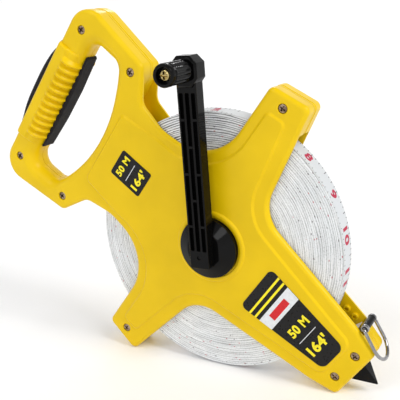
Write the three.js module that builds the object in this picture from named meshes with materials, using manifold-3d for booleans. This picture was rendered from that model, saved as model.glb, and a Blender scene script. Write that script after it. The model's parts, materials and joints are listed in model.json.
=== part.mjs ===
// Open-reel long tape for surveying: a plastic frame of two screwed shells with a D-shaped hand
// opening, a spool of flat fibreglass tape wound by a crank with a turning knob, and a wire ring on the
// tape's free end, which leans on the frame's nose.
// Millimetres, +Z up. The spool's axis lies along Y and the crank is on the -Y side.
// The reel stands on two corners of its frame: the end of one arm and the lower corner of the nose.
import * as THREE from 'three';
import { mergeVertices } from 'three/addons/utils/BufferGeometryUtils.js';
import Module from 'manifold-3d';

const wasm = await Module();
wasm.setup();

// ---- Driving dimensions -------------------------------------------------------------------

// Tape and spool
const TAPE_WIDTH = 13;
const TAPE_THICKNESS = 0.4;
const PACK_RADIUS = 83;
const DRUM_RADIUS = 26;
const FLANGE_RADIUS = 34;
const AXLE_RADIUS = 2.5;
const FRONT_JOURNAL = 9;
const REAR_JOURNAL = 7;
const BUSH_WALL = 1.8;
const PIN_PLACE = 23.8;
const PIN_RADIUS = 1.2;
const LIGHTENING_HOLES = 6;
const LIGHTENING_CIRCLE = 16.8;
const LIGHTENING_RADIUS = 2.8;

// Half-thicknesses of the frame, measured from the middle plane of the tape
const SEAM = 0.15;
const INNER_FACE = 7.4;
const FLANGE_RECESS = 8.6;
const RIM_FACE = 10.8;
const PLATEAU_FACE = 12;
const GRIP_FACE = 13.2;
const HUB_RIM_FACE = 13;
const THROUGH = 20;

// Frame plan. U runs from the spool's axis to the handle and V across it. The plan is symmetric
// about the U axis, so the outline lists the corners of its +V half as [u, v, corner radius].
const FOOT_RADIUS = 4;
const HANDLE_END = 157.5;
const NOSE_END = -114.3;
const ARM_FOOT = [0.8, 108.3, FOOT_RADIUS];
const NOSE_CHAMFER = [-97, 24.3, 8];
const NOSE_FOOT = [NOSE_END, 19.3, FOOT_RADIUS];
const OUTLINE = [
  [HANDLE_END, 71, 15],
  [99.5, 62, 5],
  [88, 41.5, 9],
  [68, 36.5, 25],
  [27, 40.5, 33],
  [27, 104.2, FOOT_RADIUS],
  ARM_FOOT,
  [-12.5, 39.3, 22],
  NOSE_CHAMFER,
  NOSE_FOOT,
];
const PLATEAU = [
  [95, 27.5, 3.5],
  [66, 31, 30],
  [19.5, 31.3, 38],
  [19.5, 91.5, 3],
  [7.5, 92.5, 3],
  [-5, 32.3, 28],
  [-100, 14.6, 6],
];
const CAVITY_RADIUS = 91;
const NECK_RECESS = [[60, 30, 0], [96, 30, 0], [96, 70, 0], [60, 70, 0]];
const TAPE_MOUTH = [[-70, 8, 0], [-92, -4, 0], [-98.5, 6, 0], [-103.5, 30, 0], [-70, 44, 0]];
const BAR_POCKET = [[141.8, -38, 2], [154, -38, 2], [154, 38, 2], [141.8, 38, 2]];
const POST_POCKET = [[113, 54, 1], [138, 55, 1], [138, 65.5, 1], [113, 61.5, 1]];
const ARM_POCKET = [[3, 93.5, 1], [9, 93, 1], [9, 101.5, 1], [3, 102.2, 1]];

// Hand opening: an arched edge towards the spool, straight sides and a straight edge at the grip
const ARCH_RADIUS = 98.5;
const ARCH_CENTRE = 199.5;
const ARCH_HALF_ANGLE = Math.asin(41 / ARCH_RADIUS);
const OPENING_CORNERS = [[115, 50.3, 9], [138.8, 51.3, 8]];

// Grip
const GRIP_BLOCK = [[139, -37.5, 1.5], [157.4, -37.5, 1.5], [157.4, 37.5, 1.5], [139, 37.5, 1.5]];
const GRIP_RIBS = 12;
const RIB_PITCH = 5.4;
const RIB_RADIUS = 1.1;
const RIB_LENGTH = 9;
const RIB_CENTRE = 144.4;
const PALM_HALF_WIDTH = 9;
const PALM_HALF_LENGTH = 37.3;
const PALM_SWELL = 6;
const FINGER_HALF_WIDTH = 5.5;
const FINGER_CORNERS = [[138.5, 38, 0], [137.1, 37, 0], [135.6, 12, 40]];

// Screws through the front shell into the rear one, as [u, v]
const SCREW_PLACES = [
  [147.5, 53], [147.5, -53], [104.5, 53.1], [104.5, -53.1],
  [13.8, 98.3], [13.8, -98.3], [-106.5, 10], [-106.5, -10],
];
const SCREW_HEAD_RADIUS = 2.6;
const SCREW_HEAD_TOP = 10.5;
const SCREW_HEAD_BOTTOM = 8.8;
const SCREW_SHANK_RADIUS = 1.35;
const SCREW_TIP = 7;

// Guide posts moulded in the nose, beside the tape's way out
const GUIDE_POSTS = [[-92, 20.3], [-85.5, 20.7]];
const GUIDE_POST_HEIGHT = 1.8;
const GUIDE_POST_RADIUS = 2.2;
const GUIDE_HOLE_RADIUS = 1.1;

// Cap over the axle bolt, in a recess of the rear shell
const REAR_CAP_RADIUS = 12.5;
const REAR_CAP_FLOOR = 10.4;
const REAR_CAP_FACE = 11.9;

// Labels on the front plateau
const LABEL_THICKNESS = 0.3;
const NOSE_LABEL = [[-37.2, 17.3, 3.5], [-98.6, 10.3, 5], [-98.6, -10.3, 5], [-37.2, -17.3, 3.5]];
const SIDE_LABEL = [[82, 9.6, 1.5], [57, 9.6, 1.5], [57, -9.6, 1.5], [82, -9.6, 1.5]];

// Spike in the nose
const SPIKE_LENGTH = 13.3;
const SPIKE_WIDTH = 12.4;
const SPIKE_DEPTH = 10;
const SPIKE_ROOT = [12, 10, 8];

// Tape end: folded clip, sleeve and wire ring at the mouth of the nose
const EYE_RADIUS = 2.6;
const EYE_STANDOFF = 3.4;
const EYE_ALONG = 1.8;
const WIRE_RADIUS = 1.05;
const RING_LENGTH = 22.6;
const RING_HALF_WIDTH = 9.7;
const RING_LEAN = THREE.MathUtils.degToRad(8.2);
const CLIP_HALF_WIDTH = 7;
const EAR_THICKNESS = 1.4;

// Crank, measured from the middle plane of the tape towards the front
const CRANK_STANCE = THREE.MathUtils.degToRad(91.2);
const CRANK_RADIUS = 109;
const ARM_HALF_WIDTH = 6.3;
const ARM_FRONT = 27.3;
const ARM_BACK = 18.6;
const ARM_END = -9.2;
const BOSS_FRONT = 29.5;
const BOSS_HALF = 8.4;
const BOSS_CHAMFER = 4.2;
const HUB_RADIUS = 19.1;
const HUB_BACK = 12.4;
const HUB_EDGE = 16.2;
const HUB_FACE = 20.2;
const HUB_FACE_RADIUS = 11.5;
const HUB_RIM_BORE = HUB_RADIUS + 0.8;
const HUB_RIM_RADIUS = HUB_RADIUS + 3.7;
const SOCKET_HALF = 4.8;
const TONGUE_HALF = 4.5;
const AXLE_TIP = 24;
const AXLE_HEAD_RADIUS = 4.4;
const CELL_WALL = 1.2;
const CELL_DEPTH = 1.8;
const CELL_HALF_WIDTH = 1.35;
// Each lane is its place across the arm and the places along it where its cells end.
const CELL_LANES = [
  [-3.95, [1.4, 17.3, 49.2, 81.1, 97]],
  [0, [1.4, 33.3, 65.2, 97]],
  [3.95, [1.4, 17.3, 49.2, 81.1, 97]],
];
const KNOB_RADIUS = 6.6;
const KNOB_BACK = 30.1;
const KNOB_COLLAR = 46.6;
const KNOB_FRONT = 50.6;
const KNOB_FLUTES = 12;
const KNOB_BEVEL = 1.2;
const KNOB_MOUTH_RADIUS = 4.5;
const KNOB_MOUTH_DEPTH = 3.4;
const KNOB_SCREW_RADIUS = 2;
const KNOB_SCREW_HEAD = 3.3;
const KNOB_NUT_RADIUS = 4;
const KNOB_NUT_THICKNESS = 3;

const ARC_STEP = THREE.MathUtils.degToRad(15);
const ROUND = 24;
const FIT = 0.08;
const GAP = 0.3;

// ---- Materials ----------------------------------------------------------------------------

function plastic(color, roughness, metalness = 0) {
  return new THREE.MeshStandardMaterial({ color, roughness, metalness, flatShading: true });
}

const YELLOW = plastic(0xe9bd0f, 0.42);
const BLACK = plastic(0x151516, 0.25);
const RUBBER = plastic(0x25242a, 0.8);
const SPOOL_GREY = plastic(0x8a8d90, 0.5);
const BUSH_WHITE = plastic(0xe4e2da, 0.45);
const TAPE_WHITE = plastic(0xe6e8ea, 0.55);
const STEEL = plastic(0x8f8a84, 0.35, 1);
const CHROME = plastic(0xd8dadc, 0.12, 1);
const BRASS = plastic(0xb89a4a, 0.3, 1);
const LABEL = plastic(0x1c1c1e, 0.4);

// ---- Geometry helpers ---------------------------------------------------------------------

// The closed outline through corners [u, v, radius], with each corner rounded by an arc.
function rounded(corners) {
  const points = [];
  corners.forEach(([u, v, radius], i) => {
    const corner = new THREE.Vector2(u, v);
    if (!radius) {
      points.push(corner);
      return;
    }
    const arc = cornerArc(corners.at(i - 1), corners[i], corners[(i + 1) % corners.length]);
    const steps = Math.max(2, Math.ceil(Math.abs(arc.turn) / ARC_STEP));
    for (let k = 0; k <= steps; k++) {
      points.push(arc.start.clone().rotateAround(arc.centre, (arc.turn * k) / steps));
    }
  });
  return points;
}

// The arc that rounds one corner: its centre, its first point and the angle it turns through.
function cornerArc(before, [u, v, radius], after) {
  const corner = new THREE.Vector2(u, v);
  const back = new THREE.Vector2(before[0], before[1]).sub(corner).normalize();
  const ahead = new THREE.Vector2(after[0], after[1]).sub(corner).normalize();
  const half = Math.acos(back.dot(ahead)) / 2;
  const centre = back.clone().add(ahead).setLength(radius / Math.sin(half)).add(corner);
  const start = corner.clone().addScaledVector(back, radius / Math.tan(half));
  const side = Math.sign(ahead.cross(back));
  return { centre, start, turn: side * (Math.PI - 2 * half) };
}

const mirrored = (corners) => corners.map(([u, v, radius]) => [u, -v, radius]).reverse();
const symmetric = (half) => rounded([...half, ...mirrored(half)]);

function circle(u, v, radius, sides = ROUND) {
  return Array.from({ length: sides }, (_, i) => {
    const angle = (2 * Math.PI * i) / sides;
    return new THREE.Vector2(u + radius * Math.cos(angle), v + radius * Math.sin(angle));
  });
}

const box = (u0, u1, v0, v1) => {
  const corners = [[u0, v0], [u1, v0], [u1, v1], [u0, v1]];
  return corners.map((corner) => new THREE.Vector2(...corner));
};

// A closed geometry as a solid that can be joined and cut.
function solid(geometry) {
  const bare = geometry.clone();
  bare.deleteAttribute('normal');
  bare.deleteAttribute('uv');
  const merged = mergeVertices(bare, 1e-4);
  const index = merged.index.array;
  const triVerts = [];
  for (let i = 0; i < index.length; i += 3) {
    const [a, b, c] = index.slice(i, i + 3);
    if (a !== b && b !== c && c !== a) triVerts.push(a, b, c);
  }
  const vertProperties = merged.attributes.position.array;
  const mesh = new wasm.Mesh({ numProp: 3, vertProperties, triVerts: new Uint32Array(triVerts) });
  return new wasm.Manifold(mesh);
}

// A plan extruded between two depths along the third axis.
function slab(points, from, to) {
  const depth = Math.abs(to - from);
  const geometry = new THREE.ExtrudeGeometry(new THREE.Shape(points), { depth, bevelEnabled: false });
  return solid(geometry.translate(0, 0, Math.min(from, to)));
}

// A turned piece about the third axis, from a closed profile of [radius, depth].
function turned(profile, sides = ROUND) {
  const points = [...profile, profile[0]].map(([r, y]) => new THREE.Vector2(r, y));
  const made = solid(new THREE.LatheGeometry(points, sides).rotateX(Math.PI / 2));
  return made.volume() < 0 ? turned([...profile].reverse(), sides) : made;
}

const joined = (first, ...others) => others.reduce((sum, next) => sum.add(next), first);
const cut = (body, ...tools) => tools.reduce((rest, tool) => rest.subtract(tool), body);

function meshOf(name, body, material) {
  const { vertProperties, triVerts } = body.getMesh();
  const geometry = new THREE.BufferGeometry();
  geometry.setAttribute('position', new THREE.BufferAttribute(vertProperties, 3));
  geometry.setIndex(new THREE.BufferAttribute(triVerts, 1));
  geometry.computeVertexNormals();
  const mesh = new THREE.Mesh(geometry, material);
  mesh.name = name;
  return mesh;
}

// A cross recess for a screw head, cut from its face at one depth to its floor at another.
function crossRecess(u, v, radius, face, floor) {
  const arm = radius * 0.62;
  const half = radius * 0.14;
  return slab(box(u - arm, u + arm, v - half, v + half), face, floor)
    .add(slab(box(u - half, u + half, v - arm, v + arm), face, floor));
}

// ---- Frame shells -------------------------------------------------------------------------

function handOpening() {
  const arch = [];
  const steps = 10;
  for (let k = 0; k <= steps; k++) {
    const angle = ARCH_HALF_ANGLE * (1 - (2 * k) / steps);
    arch.push([ARCH_CENTRE - ARCH_RADIUS * Math.cos(angle), -ARCH_RADIUS * Math.sin(angle), 0]);
  }
  return rounded([...arch, ...OPENING_CORNERS, ...mirrored(OPENING_CORNERS)]);
}

// Everything that both shells share, for the front (side -1) or the rear (side +1).
function shellBlank(side) {
  const outer = (points, face) => slab(points, side * SEAM, side * face);
  let body = joined(
    outer(symmetric(OUTLINE), RIM_FACE),
    outer(symmetric(PLATEAU), PLATEAU_FACE),
    outer(rounded(GRIP_BLOCK), GRIP_FACE),
  );
  for (let i = 0; i < GRIP_RIBS; i++) {
    const v = (i - (GRIP_RIBS - 1) / 2) * RIB_PITCH;
    const rib = new THREE.CylinderGeometry(RIB_RADIUS, RIB_RADIUS, RIB_LENGTH, 6).rotateZ(Math.PI / 2);
    body = body.add(solid(rib.translate(RIB_CENTRE, v, side * GRIP_FACE)));
  }
  const inside = (points, depth = INNER_FACE) => slab(points, -side * GAP, side * depth);
  const rootHalf = SPIKE_ROOT[1] / 2 + GAP;
  body = cut(
    body,
    slab(handOpening(), -THROUGH, THROUGH),
    inside(circle(0, 0, CAVITY_RADIUS, 48)),
    inside(circle(0, 0, FLANGE_RADIUS + 2, 32), FLANGE_RECESS),
    inside(rounded(TAPE_MOUTH)),
    inside(rounded(BAR_POCKET)),
    inside(box(NOSE_END - 1, NOSE_END + SPIKE_ROOT[0] + GAP, -rootHalf, rootHalf), SPIKE_ROOT[2] / 2 + GAP),
  );
  for (const plan of [NECK_RECESS, POST_POCKET, ARM_POCKET]) {
    body = cut(body, inside(rounded(plan)), inside(rounded(mirrored(plan))));
  }
  for (const [u, v] of GUIDE_POSTS) {
    const top = INNER_FACE - GUIDE_POST_HEIGHT;
    const post = slab(circle(u, v, GUIDE_POST_RADIUS, 12), side * top, side * (INNER_FACE + 1));
    const hole = slab(circle(u, v, GUIDE_HOLE_RADIUS, 8), -side * GAP, side * INNER_FACE);
    body = cut(body.add(post), hole);
  }
  return body;
}

function frontShell() {
  let body = shellBlank(-1);
  const rim = cut(
    slab(circle(0, 0, HUB_RIM_RADIUS, 32), -PLATEAU_FACE + 1, -HUB_RIM_FACE),
    slab(circle(0, 0, HUB_RIM_BORE, 32), -PLATEAU_FACE, -HUB_RIM_FACE - 1),
  );
  body = cut(body.add(rim), slab(circle(0, 0, FRONT_JOURNAL + BUSH_WALL + 0.2), -INNER_FACE, -THROUGH));
  for (const [u, v] of SCREW_PLACES) {
    body = cut(
      body,
      slab(circle(u, v, SCREW_HEAD_RADIUS + GAP, 14), -SCREW_HEAD_BOTTOM + GAP, -THROUGH),
      slab(circle(u, v, SCREW_SHANK_RADIUS + 0.15, 8), GAP, -THROUGH),
    );
  }
  return body;
}

function rearShell() {
  let body = cut(
    shellBlank(1),
    slab(circle(0, 0, REAR_JOURNAL + BUSH_WALL + 0.2), INNER_FACE, THROUGH),
    slab(circle(0, 0, REAR_CAP_RADIUS + GAP, 32), REAR_CAP_FLOOR, THROUGH),
  );
  for (const [u, v] of SCREW_PLACES) {
    body = cut(body, slab(circle(u, v, SCREW_SHANK_RADIUS + 0.15, 8), -GAP, SCREW_TIP + GAP));
  }
  return body;
}

function frameScrew([u, v]) {
  const head = slab(circle(u, v, SCREW_HEAD_RADIUS, 14), -SCREW_HEAD_TOP, -SCREW_HEAD_BOTTOM);
  const shank = slab(circle(u, v, SCREW_SHANK_RADIUS, 8), -SCREW_HEAD_BOTTOM - GAP, SCREW_TIP);
  const recess = crossRecess(u, v, SCREW_HEAD_RADIUS, -SCREW_HEAD_TOP - 1, -SCREW_HEAD_TOP + 1);
  return cut(head, recess).add(shank);
}

// ---- Grip rubbers, labels, spike ----------------------------------------------------------

function palmRubber() {
  const back = HANDLE_END + GAP;
  const steps = 16;
  const points = [];
  for (let k = 0; k <= steps; k++) {
    const t = (2 * k) / steps - 1;
    const swell = 0.4 + PALM_SWELL * (1 - Math.abs(t) ** 3);
    points.push(new THREE.Vector2(back + swell, PALM_HALF_LENGTH * t));
  }
  points.push(new THREE.Vector2(back, PALM_HALF_LENGTH), new THREE.Vector2(back, -PALM_HALF_LENGTH));
  return slab(points, -PALM_HALF_WIDTH, PALM_HALF_WIDTH);
}

function spike() {
  const [length, width, depth] = SPIKE_ROOT;
  const base = NOSE_END - GAP;
  const pyramid = new THREE.ConeGeometry(Math.SQRT1_2, SPIKE_LENGTH, 4).rotateY(Math.PI / 4);
  pyramid.rotateZ(Math.PI / 2).scale(1, SPIKE_WIDTH, SPIKE_DEPTH).translate(base - SPIKE_LENGTH / 2, 0, 0);
  const root = slab(box(base - 0.5, NOSE_END + length, -width / 2, width / 2), -depth / 2, depth / 2);
  return solid(pyramid).add(root);
}

// ---- Tape end -----------------------------------------------------------------------------

// The eye of the clip stands just off the chamfer of the nose. The tape reaches it from the far
// side of the winding, as the tangent to its outer turn.
const chamferRun = [NOSE_FOOT[0] - NOSE_CHAMFER[0], NOSE_FOOT[1] - NOSE_CHAMFER[1]];
const chamfer = new THREE.Vector2(...chamferRun).normalize();
const outward = new THREE.Vector2(chamfer.y, -chamfer.x);
const EYE = new THREE.Vector2(NOSE_CHAMFER[0], NOSE_CHAMFER[1])
  .addScaledVector(outward, EYE_STANDOFF)
  .addScaledVector(chamfer, EYE_ALONG);
const leadRadius = PACK_RADIUS + GAP + TAPE_THICKNESS / 2;
const tangentAngle = EYE.angle() + Math.acos(leadRadius / EYE.length());
const TANGENT = new THREE.Vector2(Math.cos(tangentAngle), Math.sin(tangentAngle));
TANGENT.multiplyScalar(leadRadius);
const leadDirection = EYE.clone().sub(TANGENT).normalize();
const leadAngle = leadDirection.angle();
const CLIP_BACK = -4.6;
const SLEEVE_RADIUS = 2.2;
const LEAD_END = -2.5;

// Clip, sleeve and lead are drawn with the tape running along +U to the eye at the origin.
function tapeLead() {
  const length = EYE.distanceTo(TANGENT);
  const half = TAPE_THICKNESS / 2;
  return slab(box(-length, LEAD_END, -half, half), -TAPE_WIDTH / 2, TAPE_WIDTH / 2);
}

function tapeEndClip() {
  const inner = TAPE_WIDTH / 2 + 0.1;
  const outer = inner + EAR_THICKNESS + 0.3;
  const eyeShape = circle(0, 0, EYE_RADIUS, 16);
  const plates = slab(box(CLIP_BACK, LEAD_END, -1.2, 1.2), -CLIP_HALF_WIDTH, CLIP_HALF_WIDTH);
  const ears = [-1, 1].flatMap((side) => [
    slab(eyeShape, side * inner, side * outer),
    slab(box(LEAD_END - 0.1, 0, -1.2, 1.2), side * inner, side * outer),
  ]);
  return cut(
    joined(plates, ...ears),
    slab(box(CLIP_BACK - 1, LEAD_END + 1, -0.45, 0.45), -TAPE_WIDTH / 2 - 0.09, TAPE_WIDTH / 2 + 0.09),
    slab(circle(0, 0, WIRE_RADIUS + FIT, 12), -THROUGH, THROUGH),
  );
}

function tapeEndSleeve() {
  const bore = slab(circle(0, 0, WIRE_RADIUS + FIT, 12), -THROUGH, THROUGH);
  return cut(slab(circle(0, 0, SLEEVE_RADIUS, 16), -TAPE_WIDTH / 2, TAPE_WIDTH / 2), bore);
}

// The ring is drawn hanging along +U from its straight bar at the origin.
function endRing() {
  const shoulder = RING_HALF_WIDTH + 0.3;
  const path = new THREE.CurvePath();
  const at = (u, y) => new THREE.Vector3(u, 0, y);
  const straight = RING_LENGTH - shoulder;
  const side = (sign) => at(0, sign * RING_HALF_WIDTH);
  path.add(new THREE.LineCurve3(side(1), at(straight, shoulder)));
  const squeeze = shoulder * 0.552;
  path.add(new THREE.CubicBezierCurve3(
    at(straight, shoulder), at(straight + squeeze, shoulder),
    at(RING_LENGTH, squeeze), at(RING_LENGTH, 0)));
  path.add(new THREE.CubicBezierCurve3(
    at(RING_LENGTH, 0), at(RING_LENGTH, -squeeze),
    at(straight + squeeze, -shoulder), at(straight, -shoulder)));
  path.add(new THREE.LineCurve3(at(straight, -shoulder), side(-1)));
  const wire = new THREE.Shape(circle(0, 0, WIRE_RADIUS, 8));
  const loop = solid(new THREE.ExtrudeGeometry(wire, { steps: 24, extrudePath: path }));
  const bar = slab(circle(0, 0, WIRE_RADIUS, 12), -RING_HALF_WIDTH, RING_HALF_WIDTH);
  const elbows = [-1, 1].map((sign) =>
    solid(new THREE.SphereGeometry(WIRE_RADIUS, 8, 6).translate(0, 0, sign * RING_HALF_WIDTH)));
  return joined(loop, bar, ...elbows);
}

// ---- Spool --------------------------------------------------------------------------------

function spoolCore() {
  const face = 6.3;
  const hub = 12;
  const web = 1.3;
  const rim = 21.5;
  const socketFloor = 3.1;
  const body = turned([
    [AXLE_RADIUS + 0.1, -face], [hub, -face], [hub, -web], [rim, -web], [rim, -face], [DRUM_RADIUS, -face],
    [DRUM_RADIUS, face], [rim, face], [rim, web], [hub, web], [hub, face], [REAR_JOURNAL, face],
    [REAR_JOURNAL, REAR_CAP_FLOOR], [SOCKET_HALF, REAR_CAP_FLOOR], [SOCKET_HALF, INNER_FACE],
    [AXLE_RADIUS + 0.1, INNER_FACE],
  ], 32);
  const socket = slab(box(-SOCKET_HALF, SOCKET_HALF, -SOCKET_HALF, SOCKET_HALF), -socketFloor, -THROUGH);
  const pinHole = slab(circle(PIN_PLACE, 0, PIN_RADIUS + 0.1, 8), -THROUGH, THROUGH);
  const lightening = Array.from({ length: LIGHTENING_HOLES }, (_, i) => {
    const angle = (Math.PI * (2 * i + 1)) / LIGHTENING_HOLES;
    const place = new THREE.Vector2(Math.cos(angle), Math.sin(angle)).multiplyScalar(LIGHTENING_CIRCLE);
    return slab(circle(place.x, place.y, LIGHTENING_RADIUS, 10), -THROUGH, THROUGH);
  });
  return cut(body, socket, pinHole, ...lightening);
}

function spoolFlange(side) {
  const near = side * (TAPE_WIDTH / 2 + 0.1);
  const far = side * (FLANGE_RECESS - 0.5);
  const disc = slab(circle(0, 0, FLANGE_RADIUS, 32), near, far);
  return cut(disc, slab(circle(0, 0, FRONT_JOURNAL + 1.5), -THROUGH, THROUGH));
}

function tapePack() {
  const half = TAPE_WIDTH / 2;
  const inner = DRUM_RADIUS + 0.3;
  return turned([[inner, -half], [PACK_RADIUS, -half], [PACK_RADIUS, half], [inner, half]], 64);
}

// ---- Crank, drawn with U up along the crank -------------------------------------------------

function crankHub() {
  const bore = AXLE_RADIUS + 0.1;
  const body = turned([
    [bore, -6.6], [bore, -HUB_FACE], [HUB_FACE_RADIUS, -HUB_FACE], [HUB_RADIUS, -HUB_EDGE],
    [HUB_RADIUS, -HUB_BACK], [FRONT_JOURNAL, -HUB_BACK], [FRONT_JOURNAL, -6.6],
  ], 32);
  const square = slab(box(-TONGUE_HALF, TONGUE_HALF, -TONGUE_HALF, TONGUE_HALF), -3.4, -7);
  const tongue = cut(square, slab(circle(0, 0, bore), 0, -8));
  const seatHalf = ARM_HALF_WIDTH + 0.15;
  const seatPlan = box(ARM_END - GAP, HUB_RADIUS + 1, -seatHalf, seatHalf);
  const seat = slab(seatPlan, -ARM_BACK + 0.15, -HUB_FACE - 1);
  return cut(body.add(tongue), seat);
}

function crankArm() {
  const boss = rounded([
    [CRANK_RADIUS - BOSS_HALF - 1, -BOSS_HALF + BOSS_CHAMFER, 0],
    [CRANK_RADIUS - BOSS_CHAMFER, -BOSS_HALF, 0],
    [CRANK_RADIUS + BOSS_CHAMFER, -BOSS_HALF, 0],
    [CRANK_RADIUS + BOSS_HALF, -BOSS_HALF + BOSS_CHAMFER, 0],
    [CRANK_RADIUS + BOSS_HALF, BOSS_HALF - BOSS_CHAMFER, 0],
    [CRANK_RADIUS + BOSS_CHAMFER, BOSS_HALF, 0],
    [CRANK_RADIUS - BOSS_CHAMFER, BOSS_HALF, 0],
    [CRANK_RADIUS - BOSS_HALF - 1, BOSS_HALF - BOSS_CHAMFER, 0],
  ]);
  let body = joined(
    slab(box(ARM_END, CRANK_RADIUS - 2, -ARM_HALF_WIDTH, ARM_HALF_WIDTH), -ARM_BACK, -ARM_FRONT),
    slab(boss, -ARM_BACK, -BOSS_FRONT),
  );
  for (const [lane, ends] of CELL_LANES) {
    for (let i = 1; i < ends.length; i++) {
      const from = ends[i - 1] + CELL_WALL / 2;
      const to = ends[i] - CELL_WALL / 2;
      const plan = box(from, to, lane - CELL_HALF_WIDTH, lane + CELL_HALF_WIDTH);
      body = cut(body, slab(plan, -ARM_FRONT + CELL_DEPTH, -ARM_FRONT - 1));
    }
  }
  return cut(
    body,
    slab(circle(0, 0, AXLE_RADIUS + 0.1), 0, -AXLE_TIP - GAP),
    slab(circle(CRANK_RADIUS, 0, KNOB_SCREW_RADIUS + FIT), 0, -BOSS_FRONT - 1),
    slab(circle(CRANK_RADIUS, 0, KNOB_NUT_RADIUS + GAP, 6), 0, -ARM_BACK - KNOB_NUT_THICKNESS - GAP),
  );
}

function axleBolt() {
  const head = slab(circle(0, 0, AXLE_HEAD_RADIUS, 16), REAR_CAP_FLOOR - 0.2, INNER_FACE + GAP);
  const shank = slab(circle(0, 0, AXLE_RADIUS, 16), 8, -AXLE_TIP);
  return cut(head, crossRecess(0, 0, AXLE_HEAD_RADIUS, 11, 8.8)).add(shank);
}

// Knob, its screw and its nut are drawn about the knob's own axis.
function knob() {
  const flutes = Array.from({ length: KNOB_FLUTES * 2 }, (_, i) => {
    const angle = (Math.PI * i) / KNOB_FLUTES;
    const radius = KNOB_RADIUS - 0.35 + 0.35 * Math.cos(KNOB_FLUTES * angle);
    return new THREE.Vector2(radius * Math.cos(angle), radius * Math.sin(angle));
  });
  const collar = turned([
    [0.01, -KNOB_COLLAR + 0.5], [KNOB_RADIUS, -KNOB_COLLAR + 0.5], [KNOB_RADIUS, -KNOB_FRONT + KNOB_BEVEL],
    [KNOB_RADIUS - KNOB_BEVEL, -KNOB_FRONT], [0.01, -KNOB_FRONT],
  ]);
  return cut(
    slab(flutes, -KNOB_BACK, -KNOB_COLLAR).add(collar),
    slab(circle(0, 0, KNOB_MOUTH_RADIUS), -KNOB_FRONT + KNOB_MOUTH_DEPTH, -60),
    slab(circle(0, 0, KNOB_SCREW_RADIUS + FIT), 0, -60),
  );
}

function knobScrew() {
  const head = turned([
    [0.01, -47.4], [KNOB_SCREW_HEAD, -47.4], [KNOB_SCREW_HEAD, -48.6], [2.6, -49.6], [0.01, -49.6],
  ], 16);
  const shank = slab(circle(0, 0, KNOB_SCREW_RADIUS), -47.6, -ARM_BACK - 0.3);
  return cut(head, crossRecess(0, 0, KNOB_SCREW_HEAD, -50, -48.5)).add(shank);
}

function knobNut() {
  const hexagon = circle(0, 0, KNOB_NUT_RADIUS, 6);
  const bore = slab(circle(0, 0, KNOB_SCREW_RADIUS + FIT), 0, -BOSS_FRONT);
  return cut(slab(hexagon, -ARM_BACK - 0.2, -ARM_BACK - KNOB_NUT_THICKNESS), bore);
}

// ---- Assembly -----------------------------------------------------------------------------

// The angle of the frame's plan that makes its two feet level.
const armArc = cornerArc(...mirrored(OUTLINE.slice(5, 8)));
const noseArc = cornerArc(NOSE_FOOT, mirrored([NOSE_FOOT])[0], mirrored([NOSE_CHAMFER])[0]);
const STANCE = armArc.centre.clone().sub(noseArc.centre).angle() - Math.PI;

// A group whose U axis stands at an angle above +X, with V to its right and depth along +Y.
function plane(angle) {
  const u = new THREE.Vector3(Math.cos(angle), 0, Math.sin(angle));
  const v = new THREE.Vector3(Math.sin(angle), 0, -Math.cos(angle));
  const group = new THREE.Group();
  group.setRotationFromMatrix(new THREE.Matrix4().makeBasis(u, v, new THREE.Vector3(0, 1, 0)));
  return group;
}

function bush(journal, from, to) {
  const bore = slab(circle(0, 0, journal + 0.1, 32), -THROUGH, THROUGH);
  return cut(slab(circle(0, 0, journal + BUSH_WALL + 0.1), from, to), bore);
}

function frameGroup() {
  const group = plane(STANCE);
  const labelFace = -PLATEAU_FACE - 0.05;
  const fingerStrip = slab(symmetric(FINGER_CORNERS), -FINGER_HALF_WIDTH, FINGER_HALF_WIDTH);
  group.add(
    meshOf('front_frame', frontShell(), YELLOW),
    meshOf('rear_frame', rearShell(), YELLOW),
    meshOf('grip_rubber_outer', palmRubber(), RUBBER),
    meshOf('grip_rubber_inner', fingerStrip, RUBBER),
    meshOf('label_nose', slab(rounded(NOSE_LABEL), labelFace, labelFace - LABEL_THICKNESS), LABEL),
    meshOf('label_side', slab(rounded(SIDE_LABEL), labelFace, labelFace - LABEL_THICKNESS), LABEL),
    meshOf('spike', spike(), BLACK),
    meshOf('front_bush', bush(FRONT_JOURNAL, -8.9, -11.9), BUSH_WHITE),
    meshOf('rear_bush', bush(REAR_JOURNAL, 8.9, REAR_CAP_FLOOR), BUSH_WHITE),
    meshOf('rear_cap', slab(circle(0, 0, REAR_CAP_RADIUS, 32), REAR_CAP_FLOOR + GAP, REAR_CAP_FACE), BLACK),
  );
  SCREW_PLACES.forEach((place, i) => group.add(meshOf(`frame_screw_${i + 1}`, frameScrew(place), STEEL)));
  return group;
}

// The tape's free end and its ring, placed in the frame's plan.
function tapeEndGroup() {
  const group = plane(STANCE);
  const end = new THREE.Group();
  end.position.set(EYE.x, EYE.y, 0);
  end.rotation.z = leadAngle;
  end.add(
    meshOf('tape_lead', tapeLead(), TAPE_WHITE),
    meshOf('tape_end_clip', tapeEndClip(), CHROME),
    meshOf('tape_end_sleeve', tapeEndSleeve(), BLACK),
  );
  const ring = meshOf('end_ring', endRing(), CHROME);
  ring.position.set(EYE.x, EYE.y, 0);
  ring.rotation.z = chamfer.angle() + RING_LEAN;
  group.add(end, ring);
  return group;
}

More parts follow.
